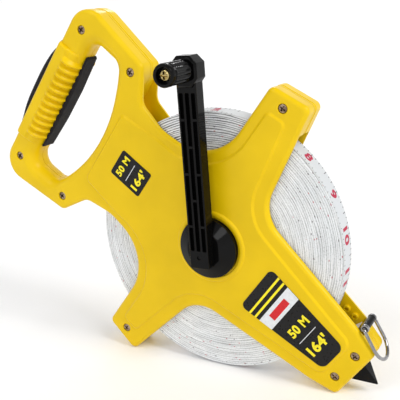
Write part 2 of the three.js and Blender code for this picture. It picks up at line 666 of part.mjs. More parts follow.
function reelGroup() {
  const group = plane(CRANK_STANCE);
  group.add(
    meshOf('spool_core', spoolCore(), SPOOL_GREY),
    meshOf('spool_flange_front', spoolFlange(-1), SPOOL_GREY),
    meshOf('spool_flange_rear', spoolFlange(1), SPOOL_GREY),
    meshOf('tape_anchor_pin', slab(circle(PIN_PLACE, 0, PIN_RADIUS, 12), -6.2, 6.2), STEEL),
    meshOf('tape_pack', tapePack(), TAPE_WHITE),
    meshOf('crank_hub', crankHub(), BLACK),
    meshOf('crank_arm', crankArm(), BLACK),
    meshOf('axle_bolt', axleBolt(), STEEL),
  );
  const knobParts = [
    meshOf('knob', knob(), BLACK),
    meshOf('knob_screw', knobScrew(), BRASS),
    meshOf('knob_nut', knobNut(), STEEL),
  ];
  for (const mesh of knobParts) {
    mesh.position.x = CRANK_RADIUS;
    group.add(mesh);
  }
  return group;
}

const assembly = new THREE.Group();
assembly.add(frameGroup(), tapeEndGroup(), reelGroup());

// The origin is at the centre of the bounding box's base.
assembly.updateMatrixWorld(true);
const bounds = new THREE.Box3().setFromObject(assembly, true);
const middle = bounds.getCenter(new THREE.Vector3());
assembly.position.set(-middle.x, -middle.y, -bounds.min.z);

const reel = new THREE.Group();
reel.add(assembly);

export default reel;
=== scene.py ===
"""A surveyor's open-reel long tape: a yellow moulded frame with a D handle, a wound white tape, a black
crank, and a wire ring at the tape's end, on a pale studio floor.

Shapes are drawn in a plan, in millimetres: U runs from the spool's axis towards the handle (or up the
crank), V across it and Y along the axis, with the crank at negative Y. The plan's matrix then takes
them into the row frame in metres.
"""
import json
import math
import random

import bmesh
import bpy
from mathutils import Matrix, Vector
from mathutils.geometry import delaunay_2d_cdt


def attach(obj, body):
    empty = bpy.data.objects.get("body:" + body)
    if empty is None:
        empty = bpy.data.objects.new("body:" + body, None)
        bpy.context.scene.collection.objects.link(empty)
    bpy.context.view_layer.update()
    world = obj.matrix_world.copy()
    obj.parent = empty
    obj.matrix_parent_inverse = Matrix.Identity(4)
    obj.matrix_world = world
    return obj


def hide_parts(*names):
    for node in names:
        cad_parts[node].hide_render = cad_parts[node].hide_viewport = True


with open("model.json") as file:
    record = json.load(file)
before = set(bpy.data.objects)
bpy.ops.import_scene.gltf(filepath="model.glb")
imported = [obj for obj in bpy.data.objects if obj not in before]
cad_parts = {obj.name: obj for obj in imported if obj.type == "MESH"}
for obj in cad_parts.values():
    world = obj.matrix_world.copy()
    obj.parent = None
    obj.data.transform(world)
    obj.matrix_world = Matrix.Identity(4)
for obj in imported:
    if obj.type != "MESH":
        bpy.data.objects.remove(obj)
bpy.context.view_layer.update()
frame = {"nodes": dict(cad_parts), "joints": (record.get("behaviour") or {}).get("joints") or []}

MM = 0.001
JOINTS = {joint["name"]: Vector(joint["pos_m"]) for joint in frame["joints"]}
SPOOL = JOINTS["spool_spin"]
KNOB = JOINTS["knob_spin"]
EYE = JOINTS["ring_swing"]

# ---- Sizes in millimetres ----

TAPE_HALF_WIDTH = 6.5
TAPE_MARGIN = 0.35
PACK_RADIUS = 83.0
DRUM_RADIUS = 26.3
TURN_PITCH = 0.8
# The winding's painted shade in the gaps between layers repeats at LAYER_PITCH, and is deepest at the angle
# LOOSE_SIDE round the spool, where the winding is loosest.
LAYER_PITCH = 1.35
LOOSE_SIDE = 1.75
# The turns' edges lie this far inside the tape's edges, and the grooves between them further in.
TURN_SINK = 0.17
TURN_GROOVE = 0.2
TURN_CREST = (0.22, 0.8)
RIM_SINK = 0.12

# Sizes here are widths, then heights or lengths; a number's weight is its boldness and thickness.
INCH = 25.4
FIRST_NUMBER = 8
NINE_AND_A_HALF_ANGLE = math.radians(17.6)
NUMBER_HEIGHT = 7.2
FOOT_NUMBER = (5.6, 7.4)
NUMBER_WEIGHT = (0.008, 0.02)
TICK_WIDTH = 0.42
TICK_LENGTHS = (3.4, 1.3, 1.9, 1.3, 2.6, 1.3, 1.9, 1.3)
LOW_TICK = (0.34, 1.1)

SEAM = 0.15
SEAM_BAND = 1.9
SEAM_STEP = 0.35
INNER_FACE = 7.4
FLANGE_RECESS = 8.6
RIM_FACE = 10.8
PLATEAU_FACE = 12.0
GRIP_FACE = 13.2
EDGE_FILLET = 2.8
OPENING_FILLET = 4.2
GRIP_FILLET = 8.2
FILLET_CHANGE = (106.0, 122.0)

HANDLE_END = 157.5
NOSE_END = -114.3
# Outlines are corners of (U, V, rounding radius). A symmetric one lists only its positive V side.
OUTLINE = [
    (HANDLE_END, 71, 15), (99.5, 62, 5), (88, 41.5, 9), (68, 36.5, 25), (27, 40.5, 33),
    (27, 104.2, 4), (0.8, 108.3, 4), (-12.5, 39.3, 22), (-97, 24.3, 8), (NOSE_END, 19.3, 4),
]
NOSE_FOOT = 9
ARM_FOOT = 6
PLATEAU = [
    (95, 27.5, 3.5), (66, 31, 30), (19.5, 31.3, 38), (19.5, 91.5, 3), (7.5, 92.5, 3),
    (-5, 32.3, 28), (-100, 14.6, 6),
]
# Up the plateau's edge, the outline's offset goes from the first of these to the second.
PLATEAU_SLOPE = (1.1, -0.9)
CAVITY_RADIUS = 91.0
FLANGE_RECESS_RADIUS = 36.0
NECK_RECESS = [(60, 30, 0), (96, 30, 0), (96, 70, 0), (60, 70, 0)]
TAPE_MOUTH = [(-70, 8, 0), (-70, 44, 0), (-103.5, 30, 0), (-98.5, 6, 0), (-92, -4, 0)]
ARCH_RADIUS = 98.5
ARCH_CENTRE = 199.5
ARCH_HALF_ANGLE = math.asin(41 / ARCH_RADIUS)
OPENING_CORNERS = [(115, 50.3, 9), (138.8, 51.3, 8)]
SCREW_PLACES = [
    (147.5, 53), (147.5, -53), (104.5, 53.1), (104.5, -53.1),
    (13.8, 98.3), (13.8, -98.3), (-106.5, 10), (-106.5, -10),
]
SCREW_HEAD_RADIUS = 2.6
SCREW_SHANK_RADIUS = 1.35
SCREW_HEAD = {"face": -10.45, "dome": 0.55, "foot": -8.7, "tip": 7}
# The profiles of turned details, here and below, are (radius, depth) steps.
SCREW_SEAT = [(0, -8.4), (2.85, -8.4), (2.85, -10.35), (3.15, -10.65), (3.5, -10.85), (3.5, -12), (0, -12)]
CAP_SEAT = [(0, 10.4), (12.8, 10.4), (12.8, 11.7), (13.2, 12.1), (13.2, 14), (0, 14)]
CAP = [
    (0, 10.7), (12.2, 10.7), (12.5, 11.0), (12.5, 11.6), (12.2, 11.9), (10.9, 11.9), (10.5, 11.6),
    (9.7, 11.55), (9.3, 11.85), (3.2, 11.65), (2.9, 11.3), (0, 11.3),
]
FRONT_BUSH_RADIUS = 11.0
REAR_BUSH_RADIUS = 9.0
GUIDE_POSTS = [(-92, 20.3), (-85.5, 20.7)]
GUIDE_POST_HEIGHT = 1.8
GUIDE_POST_RADIUS = 2.2
GUIDE_HOLE_RADIUS = 1.1

# Where the block starts and ends along U, and half its length.
GRIP_BLOCK = (139.0, 157.4, 37.5)
GRIP_RIBS = 12
RIB_PITCH = 5.4
RIB_HEIGHT = 2.7
RIB_SINK = 1.25
RIB_SHARPNESS = 0.75
RIB_FADE = (147.6, 150.0)
# How far the block rolls over on its finger side, along U and in depth.
GRIP_ROLL = (7.0, 9.5)
GRIP_EDGE = 2.7
GRIP_END_EDGE = 1.4
PALM_HALF_WIDTH = 9.0
PALM_HALF_LENGTH = 37.3
PALM_SWELL = 6.0
PALM_CROWN = 2.8
FINGER_HALF_WIDTH = 5.5
FINGER_CORNERS = [(138.5, 38, 0), (137.1, 37, 0), (135.6, 12, 40)]
FINGER_EDGE = 0.55

LABEL_BACK = 12.05
LABEL_FACE = 12.35
NOSE_LABEL = [(-37.2, 17.3, 3.5), (-98.6, 10.3, 5)]
SIDE_LABEL = [(82, 9.6, 1.5), (57, 9.6, 1.5)]

SPIKE_LENGTH = 13.3
SPIKE_HALF_WIDTH = 6.2
SPIKE_HALF_DEPTH = 5.0
# The root's length, half width and half depth, and the tip's half width and half depth.
SPIKE_ROOT = (12, 5, 4)
SPIKE_TIP = (0.35, 0.3)
SPIKE_EDGE = 0.45

EYE_RADIUS = 2.6
EYE_STANDOFF = 3.4
EYE_ALONG = 1.8
WIRE_RADIUS = 1.05
RING_LENGTH = 22.6
RING_HALF_WIDTH = 9.7
RING_CORNER = 1.6
RING_LEAN = math.radians(8.2)
RING_FLARE = 0.3
WIRE_GAP = 0.08
CLIP_HALF_WIDTH = 7.0
CLIP_PLATE = (-4.6, -2.4)
CLIP_PLATE_DEPTH = (0.45, 1.2)
CLIP_EAR = (6.6, 8.3)
SLEEVE_RADIUS = 2.2
SLEEVE_HALF_LENGTH = 6.5
# The stretch of tape inside the nose lies this far outside the winding, at its own middle.
LEAD_STANDOFF = 0.5

CRANK_RADIUS = 109.0
ARM_HALF_WIDTH = 6.3
ARM_FRONT = 27.3
ARM_BACK = 18.6
ARM_END = -9.2
BOSS_FRONT = 29.5
BOSS_HALF = 8.4
BOSS_CHAMFER = 4.2
HUB_RADIUS = 19.1
HUB_BACK = 12.4
HUB_EDGE = 16.2
HUB_FACE = 20.2
HUB_FACE_RADIUS = 11.5
# The frame's raised ring round the hub, as (distance from the hub's edge, depth).
HUB_RIM = [
    (0.8, -11), (0.8, -12.4), (1.1, -12.85), (1.6, -13), (2.9, -13), (3.5, -12.8), (3.9, -12.35),
    (4.4, -11.9), (4.4, -11),
]
CELL_WALL = 1.2
CELL_DEPTH = 2.6
CELL_HALF_WIDTH = 1.35
GROOVE_DEPTH = 0.5
# Each lane is its place across the arm and the places along it where its cells end.
CELL_LANES = [
    (-3.95, (1.4, 17.3, 49.2, 81.1, 97)), (0.0, (1.4, 33.3, 65.2, 97)), (3.95, (1.4, 17.3, 49.2, 81.1, 97)),
]
KNOB_RADIUS = 6.6
KNOB_BACK = 30.1
KNOB_COLLAR = 46.6
KNOB_FRONT = 50.6
KNOB_FLUTES = 12
KNOB_BORE = 2.1
KNOB_COLLAR_RADIUS = 6.15
# The mouth's radius and depth.
KNOB_MOUTH = (4.5, 3.4)
FLUTE_DEPTH = 0.75
KNOB_SCREW_HEAD_RADIUS = 3.3
KNOB_SCREW_SHANK_RADIUS = 2.0
KNOB_SCREW_HEAD = {"face": -49.5, "dome": 1.2, "foot": -47.5, "tip": -18.9}
KNOB_NUT_THICKNESS = 3.0
KNOB_NUT_RADIUS = 4.3
AXLE_BORE = 2.6
TONGUE_HALF = 4.5

ARC_STEP = math.radians(6)
QUARTER = math.pi / 2


def direction(angle):
    return Vector((math.cos(angle), math.sin(angle)))


def shares(steps, first=0):
    """Even steps up to 1, from 0 or from a later step."""
    return [k / steps for k in range(first, steps + 1)]


def smooth_step(value, start=0.0, end=1.0):
    share = min(1.0, max(0.0, (value - start) / (end - start)))
    return share * share * (3 - 2 * share)


def new_object(name, data):
    made = bpy.data.objects.new(name, data)
    bpy.context.scene.collection.objects.link(made)
    return made


# ---- Camera ----

AIM_FROM_SPOOL = Vector((-8.843, -6.5, 27.449)) * MM
CAMERA_DISTANCE = 0.43466
CAMERA_AZIMUTH = math.radians(29.729)
CAMERA_ELEVATION = math.radians(16.417)
CAMERA_ROLL = math.radians(-3.189)
CAMERA_LENS = 63.376


def make_camera():
    flat = math.cos(CAMERA_ELEVATION)
    back = Vector((
        math.sin(CAMERA_AZIMUTH) * flat,
        -math.cos(CAMERA_AZIMUTH) * flat,
        math.sin(CAMERA_ELEVATION),
    ))
    right = Vector((0, 0, 1)).cross(back).normalized()
    up = back.cross(right)
    cos_roll, sin_roll = math.cos(CAMERA_ROLL), math.sin(CAMERA_ROLL)
    turned_right = right * cos_roll + up * sin_roll
    turned_up = up * cos_roll - right * sin_roll
    place = SPOOL + AIM_FROM_SPOOL + back * CAMERA_DISTANCE
    data = bpy.data.cameras.new("camera")
    data.lens = CAMERA_LENS
    data.clip_start = 0.01
    camera = new_object("camera", data)
    axes = Matrix((turned_right, turned_up, back)).transposed()
    camera.matrix_world = Matrix.Translation(place) @ axes.to_4x4()
    bpy.context.scene.camera = camera


make_camera()

# ---- Materials ----


# The Mix node has a socket of each kind under every name, so its colour sockets go by number.
MIX_FACTOR, MIX_A, MIX_B, MIX_RESULT = 0, 6, 7, 2


class Shader:
    """A node material under construction, around one Principled shader."""

    def __init__(self, name, roughness, metallic=0.0, coat=0.0, specular=0.5):
        self.material = bpy.data.materials.new(name)
        self.material.use_nodes = True
        self.tree = self.material.node_tree
        self.shader = self.tree.nodes["Principled BSDF"]
        self.shader.inputs["Roughness"].default_value = roughness
        self.shader.inputs["Metallic"].default_value = metallic
        self.shader.inputs["Coat Weight"].default_value = coat
        self.shader.inputs["Coat Roughness"].default_value = 0.06
        self.shader.inputs["Specular IOR Level"].default_value = specular
        self.place = self.tree.nodes.new("ShaderNodeTexCoord").outputs["Object"]

    def feed(self, socket, value):
        """Gives an input a value, or links it to an output."""
        if isinstance(value, bpy.types.NodeSocket):
            self.tree.links.new(value, socket)
        else:
            socket.default_value = value

    def node(self, kind, inputs=(), **settings):
        made = self.tree.nodes.new("ShaderNode" + kind)
        for key, value in settings.items():
            setattr(made, key, value)
        for key, value in dict(inputs).items():
            self.feed(made.inputs[key], value)
        return made

    def noise(self, size_mm, vector=None, detail=2.0, roughness=0.5, stretch=(1, 1, 1)):
        """Noise whose features are about size_mm across."""
        scale = [factor / (size_mm * MM) for factor in stretch]
        mapped = self.node("Mapping", {"Vector": vector or self.place, "Scale": scale})
        made = self.node("TexNoise", {
            "Vector": mapped.outputs[0], "Scale": 1.0, "Detail": detail, "Roughness": roughness,
        })
        return made.outputs["Fac"]

    def math(self, operation, *values, clamp=False):
        made = self.node("Math", operation=operation, use_clamp=clamp)
        for socket, value in zip(made.inputs, values):
            self.feed(socket, value)
        return made.outputs[0]

    def product(self, *values):
        total = values[0]
        for value in values[1:]:
            total = self.math("MULTIPLY", total, value)
        return total

    def total(self, *values):
        total = values[0]
        for value in values[1:]:
            total = self.math("ADD", total, value)
        return total

    def spread(self, value, low, high, to_low=0.0, to_high=1.0):
        made = self.node("MapRange", {
            "Value": value, "From Min": low, "From Max": high, "To Min": to_low, "To Max": to_high,
        })
        return made.outputs["Result"]

    def mix(self, factor, a, b):
        """A colour between a and b, each a colour or a socket."""
        made = self.node("Mix", data_type="RGBA")
        self.feed(made.inputs[MIX_FACTOR], factor)
        for socket, value in ((MIX_A, a), (MIX_B, b)):
            self.feed(made.inputs[socket], (*value, 1.0) if isinstance(value, tuple) else value)
        return made.outputs[MIX_RESULT]

    def drift(self, size_mm, dark, light, low=0.3, high=0.7, **noise):
        """A colour that wanders between two over features about size_mm across."""
        return self.mix(self.spread(self.noise(size_mm, **noise), low, high), dark, light)

    def colour(self, source):
        self.feed(self.shader.inputs["Base Color"], source)

    def roughness(self, source, low, high):
        """Roughness that follows a noise from low to high."""
        self.feed(self.shader.inputs["Roughness"], self.spread(source, 0.3, 0.7, low, high))

    def bump(self, *heights, distance_mm=0.1):
        """Bumps laid over one another; each height is (socket, strength)."""
        normal = None
        for height, strength in heights:
            inputs = {"Height": height, "Strength": strength, "Distance": distance_mm * MM}
            if normal is not None:
                inputs["Normal"] = normal
            normal = self.node("Bump", inputs).outputs[0]
        self.feed(self.shader.inputs["Normal"], normal)


def moulded_plastic(name, dark, light, roughness, grain_mm, grain, coat=0.0, specular=0.5):
    """Injection-moulded plastic: slow colour drift, fine spark-eroded grain and uneven gloss."""
    shader = Shader(name, roughness, coat=coat, specular=specular)
    flow = shader.noise(9, detail=4, stretch=(1, 0.35, 1))
    shader.colour(shader.drift(28, dark, light, detail=3))
    shader.roughness(flow, roughness * 0.82, roughness * 1.2)
    shader.bump((flow, 0.05), (shader.noise(grain_mm), grain), distance_mm=0.12)
    return shader.material


def rubber_material():
    """Dull rubber with a pebbled grain and a little dust in it."""
    shader = Shader("grip_rubber", 0.72, specular=0.22)
    pebble = shader.node("TexVoronoi", {"Vector": shader.place, "Scale": 1 / (0.9 * MM)})
    dust = shader.noise(6, detail=5, roughness=0.65)
    shader.colour(shader.mix(shader.spread(dust, 0.45, 0.75), (0.008, 0.0075, 0.01), (0.022, 0.0205, 0.027)))
    shader.roughness(dust, 0.62, 0.84)
    shader.bump((pebble.outputs["Distance"], 0.5), distance_mm=0.16)
    return shader.material


def metal_material(name, dark, light, roughness, brush_mm):
    """Plated metal with a patchy tarnish and a fine unevenness."""
    shader = Shader(name, roughness, metallic=1.0)
    brush = shader.noise(brush_mm, detail=4)
    shader.colour(shader.drift(3, dark, light, 0.35, 0.65, detail=4))
    shader.roughness(brush, roughness * 0.7, roughness * 1.35)
    shader.bump((brush, 0.08), distance_mm=0.05)
    return shader.material


def print_material(name, colour, roughness=0.4, specular=0.5):
    """Screen-printed ink: a nearly even coat with a faint mottle and tooth."""
    shader = Shader(name, roughness, specular=specular)
    mottle = shader.noise(1.6, detail=5)
    thin = tuple(min(1.0, channel * 1.12 + 0.001) for channel in colour)
    shader.colour(shader.mix(shader.spread(mottle, 0.35, 0.7), colour, thin))
    shader.roughness(mottle, roughness * 0.85, roughness * 1.15)
    shader.bump((shader.noise(0.25), 0.05), distance_mm=0.03)
    return shader.material


def winding_material():
    """The wound tape, in coordinates centred on the spool: white edges with painted shade in the gaps
    between layers, deepest where the winding is loosest, an outer turn painted darker as shade, a fine
    nap, and sparse specks where the print shows on the edges."""
    shader = Shader("tape_winding", 0.5, specular=0.4)
    across, depth, up = shader.node("SeparateXYZ", {"Vector": shader.place}).outputs
    radius = shader.math("SQRT", shader.total(shader.product(across, across), shader.product(up, up)))
    angle = shader.math("ARCTAN2", up, across)
    side = shader.math("LESS_THAN", radius, (PACK_RADIUS - 0.15) * MM)
    # Noise in these coordinates runs on round a turn, as if each turn were this small.
    turn_size = 12 * MM
    around = shader.node("CombineXYZ", {
        "X": radius, "Y": shader.product(shader.math("COSINE", angle), turn_size),
        "Z": shader.product(shader.math("SINE", angle), turn_size),
    }).outputs[0]
    wide = shader.noise(2.6, around, detail=3, roughness=0.6, stretch=(1, 0.5, 0.5))
    fine = shader.noise(0.85, around, roughness=0.6, stretch=(1, 0.25, 0.25))

    wander = shader.product(shader.spread(wide, 0.3, 0.7, -0.35, 0.35), LAYER_PITCH * MM)
    layers = shader.product(shader.total(radius, wander), 2 * math.pi / (LAYER_PITCH * MM))
    # Painted shade: dark lines in the gaps between layers, made deeper where the winding is loosest.
    gap = shader.spread(shader.math("SINE", layers), -1.0, -0.25, 1.0, 0.0)
    gap_shade_depth = shader.math("COSINE", shader.math("SUBTRACT", angle, LOOSE_SIDE))
    nap = shader.spread(shader.noise(0.9, detail=3), 0.5, 0.7, 0.0, 0.26)
    shade = shader.total(
        shader.spread(fine, 0.38, 0.6, 0.16, 0.0), shader.spread(wide, 0.36, 0.6, 0.06, 0.0),
        shader.product(gap, shader.spread(gap_shade_depth, 0.5, 0.95, 0.42, 1.05)), nap,
    )
    shade = shader.math("MULTIPLY", shade, side, clamp=True)
    edges = shader.drift(14, (0.86, 0.885, 0.90), (0.93, 0.94, 0.95), detail=3)
    # Painted shade: the outer turn, where the tape's face shows, is painted a darker grey than the white
    # edges.
    white = shader.mix(side, (0.60, 0.62, 0.635), edges)
    toned = shader.mix(shade, white, (0.11, 0.115, 0.12))

    speck, ink = print_specks(shader, radius, angle, depth)
    shader.colour(shader.mix(shader.product(speck, side, 0.8), toned, ink))
    shader.bump((shader.product(fine, side), 0.2), (shader.noise(0.5), 0.08), distance_mm=0.15)
    return shader.material


def print_specks(shader, radius, angle, depth):
    """Where specks of print show on the edges of the turns, more of them further out, and their ink."""
    polar = shader.node("CombineXYZ", {
        "X": shader.product(radius, 1 / (1.1 * MM)), "Y": shader.product(angle, 34.0),
        "Z": shader.product(shader.math("SIGN", depth), 9.0),
    }).outputs[0]
    cells = shader.node("TexVoronoi", {"Vector": polar, "Scale": 0.85}).outputs
    pick = shader.node("SeparateColor", {"Color": cells["Color"]}).outputs
    near = shader.math("LESS_THAN", cells["Distance"], 0.27)
    chosen = shader.math("LESS_THAN", pick[0], shader.spread(radius, 0.055, 0.08, 0.015, 0.22))
    ink = shader.mix(shader.math("GREATER_THAN", pick[1], 0.55), (0.07, 0.05, 0.06), (0.42, 0.05, 0.08))
    return shader.product(near, chosen), ink


def tape_material():
    """The face of the tape: white coated cloth with the weave just showing through."""
    shader = Shader("tape_cloth", 0.48, specular=0.4)
    weave = shader.node("TexWave", {
        "Vector": shader.place, "Scale": 1 / (2.2 * MM), "Distortion": 1.5, "Detail": 1.0,
    })
    shader.colour(shader.drift(8, (0.80, 0.82, 0.84), (0.87, 0.88, 0.89), detail=3))
    shader.bump((weave.outputs["Fac"], 0.15), distance_mm=0.05)
    return shader.material


YELLOW = moulded_plastic("yellow_abs", (0.73, 0.488, 0.0004), (0.80, 0.538, 0.0008), 0.34, 0.5, 0.04,
                         specular=0.22)
BLACK = moulded_plastic("black_gloss", (0.0015, 0.0015, 0.0016), (0.003, 0.0029, 0.0028), 0.2, 0.4, 0.02,
                        coat=0.22, specular=0.03)
RUBBER = rubber_material()
STEEL = metal_material("dark_steel", (0.17, 0.11, 0.07), (0.46, 0.35, 0.25), 0.3, 0.6)
CHROME = metal_material("bright_chrome", (0.24, 0.235, 0.24), (0.38, 0.375, 0.38), 0.12, 2.0)
BRASS = metal_material("pale_brass", (0.32, 0.23, 0.07), (0.66, 0.54, 0.26), 0.22, 0.7)
NYLON = moulded_plastic("white_nylon", (0.72, 0.71, 0.66), (0.8, 0.79, 0.75), 0.45, 0.6, 0.08)
SPOOL_GREY = moulded_plastic("spool_grey", (0.22, 0.23, 0.24), (0.28, 0.29, 0.3), 0.5, 0.6, 0.08)
LABEL_BLACK = print_material("label_film", (0.009, 0.0085, 0.009), 0.3, 0.2)
INK_YELLOW = print_material("label_yellow", (0.88, 0.74, 0.02), specular=0.25)
INK_SILVER = print_material("label_silver", (0.68, 0.70, 0.72), 0.3)
INK_RED = print_material("label_red", (0.58, 0.018, 0.022), specular=0.25)
TAPE_RED = print_material("tape_red", (0.42, 0.012, 0.05), 0.5, 0.25)
TAPE_BLACK = print_material("tape_black", (0.02, 0.02, 0.025), 0.5)
WINDING = winding_material()
TAPE_CLOTH = tape_material()

# ---- Plans ----


def plan_matrix(angle, origin=SPOOL):
    """Plan millimetres to the row frame, with U at an angle above +X and V to its right."""
    cos, sin = math.cos(angle), math.sin(angle)
    basis = Matrix(((cos, sin, 0, 0), (0, 0, 1, 0), (sin, -cos, 0, 0), (0, 0, 0, 1)))
    return Matrix.Translation(origin) @ basis @ Matrix.Scale(MM, 4)


def level_stance():
    """The angle of the plan at which the arm's foot and the nose's foot stand on one level."""
    arm = corner_arc(*mirrored(OUTLINE[ARM_FOOT - 1:ARM_FOOT + 2]))[0]
    nose = corner_arc(OUTLINE[NOSE_FOOT], *mirrored(OUTLINE[NOSE_FOOT - 1:]))[0]
    along = arm - nose
    return math.atan2(along.y, along.x) - math.pi


def mirrored(corners):
    return [(u, -v, *rest) for u, v, *rest in reversed(corners)]


def corner_arc(before, corner, after):
    """Centre, start, turning sense and swept angle of the arc that rounds a corner, and its miter."""
    point = Vector(corner[:2])
    back = (Vector(before[:2]) - point).normalized()
    ahead = (Vector(after[:2]) - point).normalized()
    bisector = (back + ahead).normalized()
    half = back.angle(ahead) / 2
    sense = math.copysign(1, ahead.x * back.y - ahead.y * back.x)
    centre = point + bisector * (corner[2] / math.sin(half))
    start = point + back * (corner[2] / math.tan(half))
    return centre, start, sense, math.pi - 2 * half, bisector / math.sin(half)


def rounded(corners, step=ARC_STEP):
    """A closed outline as (point, offset direction) pairs, with each corner rounded by an arc."""
    outline = []
    for i, corner in enumerate(corners):
        after = corners[(i + 1) % len(corners)]
        centre, start, sense, sweep, miter = corner_arc(corners[i - 1], corner, after)
        if not corner[2]:
            outline.append((Vector(corner[:2]), -sense * miter))
            continue
        steps = max(2, math.ceil(sweep / step))
        first = math.atan2(start.y - centre.y, start.x - centre.x)
        for k in range(steps + 1):
            spoke = direction(first + sense * sweep * k / steps)
            outline.append((centre + spoke * corner[2], sense * spoke))
    return outline


def symmetric(half):
    return rounded([*half, *mirrored(half)])


def rectangle(u0, u1, v0, v1, corner=0, step=ARC_STEP):
    return rounded([(u1, v1, corner), (u0, v1, corner), (u0, v0, corner), (u1, v0, corner)], step)


def hand_opening():
    """The D of the handle: an arch towards the spool and a straight side at the grip."""
    arch = []
    for share in shares(32):
        angle = ARCH_HALF_ANGLE * (1 - 2 * share)
        arch.append((ARCH_CENTRE - ARCH_RADIUS * math.cos(angle), -ARCH_RADIUS * math.sin(angle), 0))
    return rounded([*arch, *OPENING_CORNERS, *mirrored(OPENING_CORNERS)])


STANCE = level_stance()
FRAME_PLAN = plan_matrix(STANCE)
CRANK_PLAN = plan_matrix(math.atan2(KNOB.z - SPOOL.z, KNOB.x - SPOOL.x))

# ---- Solids ----


def band(bm, lower, upper):
    """Quads between two rings of vertices, or triangles where one of them is a single point."""
    if len(lower) == len(upper) == 1:
        return
    tip, rim = (lower[0], upper) if len(lower) == 1 else (upper[0], lower)
    for i in range(len(rim)):
        j = (i + 1) % len(rim)
        if len(lower) == len(upper):
            bm.faces.new((lower[i], lower[j], upper[j], upper[i]))
        else:
            bm.faces.new((tip, rim[i], rim[j]))


def skin(bm, rings, closed=False):
    """Bands from each ring to the next; gives the first and last ring."""
    for lower, upper in zip(rings, rings[1:] + (rings[:1] if closed else [])):
        band(bm, lower, upper)
    return rings[0], rings[-1]


def wall(bm, outline, *profiles):
    """Bands up an outline by steps of (offset, depth): one profile for all its points, or one for each."""
    if len(profiles) == 1:
        profiles *= len(outline)
    rings = []
    for steps in zip(*profiles):
        rings.append([bm.verts.new((*(point + grow * offset), depth))
                      for (point, grow), (offset, depth) in zip(outline, steps)])
    return skin(bm, rings)


def inside(point, loops):
    crossings = 0
    for loop in loops:
        for a, b in zip(loop, loop[1:] + loop[:1]):
            if (a.co.y > point.y) != (b.co.y > point.y):
                crossings += point.x < a.co.x + (point.y - a.co.y) * (b.co.x - a.co.x) / (b.co.y - a.co.y)
    return crossings % 2


def fill(bm, *loops):
    """Triangles over the flat region between closed loops of vertices."""
    verts = [vert for loop in loops for vert in loop]
    edges = []
    for loop in loops:
        first = len(edges)
        edges += [(first + i, first + (i + 1) % len(loop)) for i in range(len(loop))]
    made = delaunay_2d_cdt([vert.co.xy for vert in verts], edges, [], 0, 1e-6)
    points, faces, origins = made[0], made[2], made[3]
    for face in faces:
        centre = sum((points[i] for i in face), Vector((0, 0))) / len(face)
        if inside(centre, loops):
            bm.faces.new([verts[origins[i][0]] for i in face])


def to_mesh(bm, name="solid"):
    bmesh.ops.recalc_face_normals(bm, faces=bm.faces)
    mesh = bpy.data.meshes.new(name)
    bm.to_mesh(mesh)
    bm.free()
    return mesh


def loft(outline, profile):
    """A closed solid from an outline drawn up a profile of (offset, depth) steps."""
    bm = bmesh.new()
    first, last = wall(bm, outline, profile)
    fill(bm, first)
    fill(bm, last)
    return to_mesh(bm)


def slab(outline, low, high):
    return loft(outline, [(0, low), (0, high)])


def quarter(offset, depth, radius, rise, steps=5):
    """Profile steps round an outer edge, from a wall at offset up to a face, rising towards rise."""
    spokes = [direction(QUARTER * share) for share in shares(steps)]
    return [(offset - radius * (1 - spoke.x), depth + rise * radius * spoke.y) for spoke in spokes]


def pillow(outline, low, high, radius, steps=4):
    """A slab whose edges are rounded at both faces."""
    rise = math.copysign(1, high - low)
    top = quarter(0, high - rise * radius, radius, rise, steps)
    bottom = [(offset, low + high - depth) for offset, depth in reversed(top)]
    return loft(outline, bottom + top)


def turned(profile, sides=64, origin=(0, 0)):
    """A turned solid about the depth axis from a profile of (radius, depth), closed on itself or on
    the axis where a radius is 0."""
    bm = bmesh.new()
    spokes = [direction(2 * math.pi * i / sides) for i in range(sides)]
    rings = []
    for radius, depth in profile:
        if radius == 0:
            rings.append([bm.verts.new((*origin, depth))])
        else:
            points = [Vector(origin) + spoke * radius for spoke in spokes]
            rings.append([bm.verts.new((point.x, point.y, depth)) for point in points])
    skin(bm, rings, closed=len(rings[0]) > 1)
    return to_mesh(bm)


def disc(radius, low, high, sides=32, origin=(0, 0)):
    return turned([(0, low), (radius, low), (radius, high), (0, high)], sides, origin)


def modify(made, name, kind, **settings):
    modifier = made.modifiers.new(name, kind)
    for key, value in settings.items():
        setattr(modifier, key, value)


def finished_mesh(made):
    """The mesh that an object evaluates to; the object goes."""
    graph = bpy.context.evaluated_depsgraph_get()
    mesh = bpy.data.meshes.new_from_object(made.evaluated_get(graph))
    bpy.data.objects.remove(made)
    return mesh


def combined(base, others, operation):
    """The mesh of base joined with, or cut by, other closed meshes."""
    keep = new_object("base", base)
    tools = [new_object("tool", other) for other in others]
    for tool in tools:
        modify(keep, "carve", "BOOLEAN", object=tool, operation=operation, solver="MANIFOLD")
    result = finished_mesh(keep)
    for tool in tools:
        bpy.data.objects.remove(tool)
    return result


def cut(base, *tools):
    return combined(base, tools, "DIFFERENCE")


def join(base, *others):
    return combined(base, others, "UNION")


def piece(name, mesh, plan, material, body, slot, replaces=(), smooth=35, weighted=True, origin=None):
    """A finished piece: its mesh taken from plan millimetres into the row frame, and riding on a body."""
    mesh.transform(plan)
    if origin is not None:
        mesh.transform(Matrix.Translation(-origin))
    mesh.name = name
    mesh.materials.clear()
    mesh.materials.append(material)
    for polygon in mesh.polygons:
        polygon.use_smooth = True
        polygon.material_index = 0
    mesh.set_sharp_from_angle(angle=math.radians(smooth))
    made = new_object(name, mesh)
    made.location = origin or (0, 0, 0)
    if weighted:
        modify(made, "even_faces", "WEIGHTED_NORMAL", keep_sharp=True)
    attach(made, body)
    if replaces:
        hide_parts(*replaces)
    return made


# ---- Frame shells ----


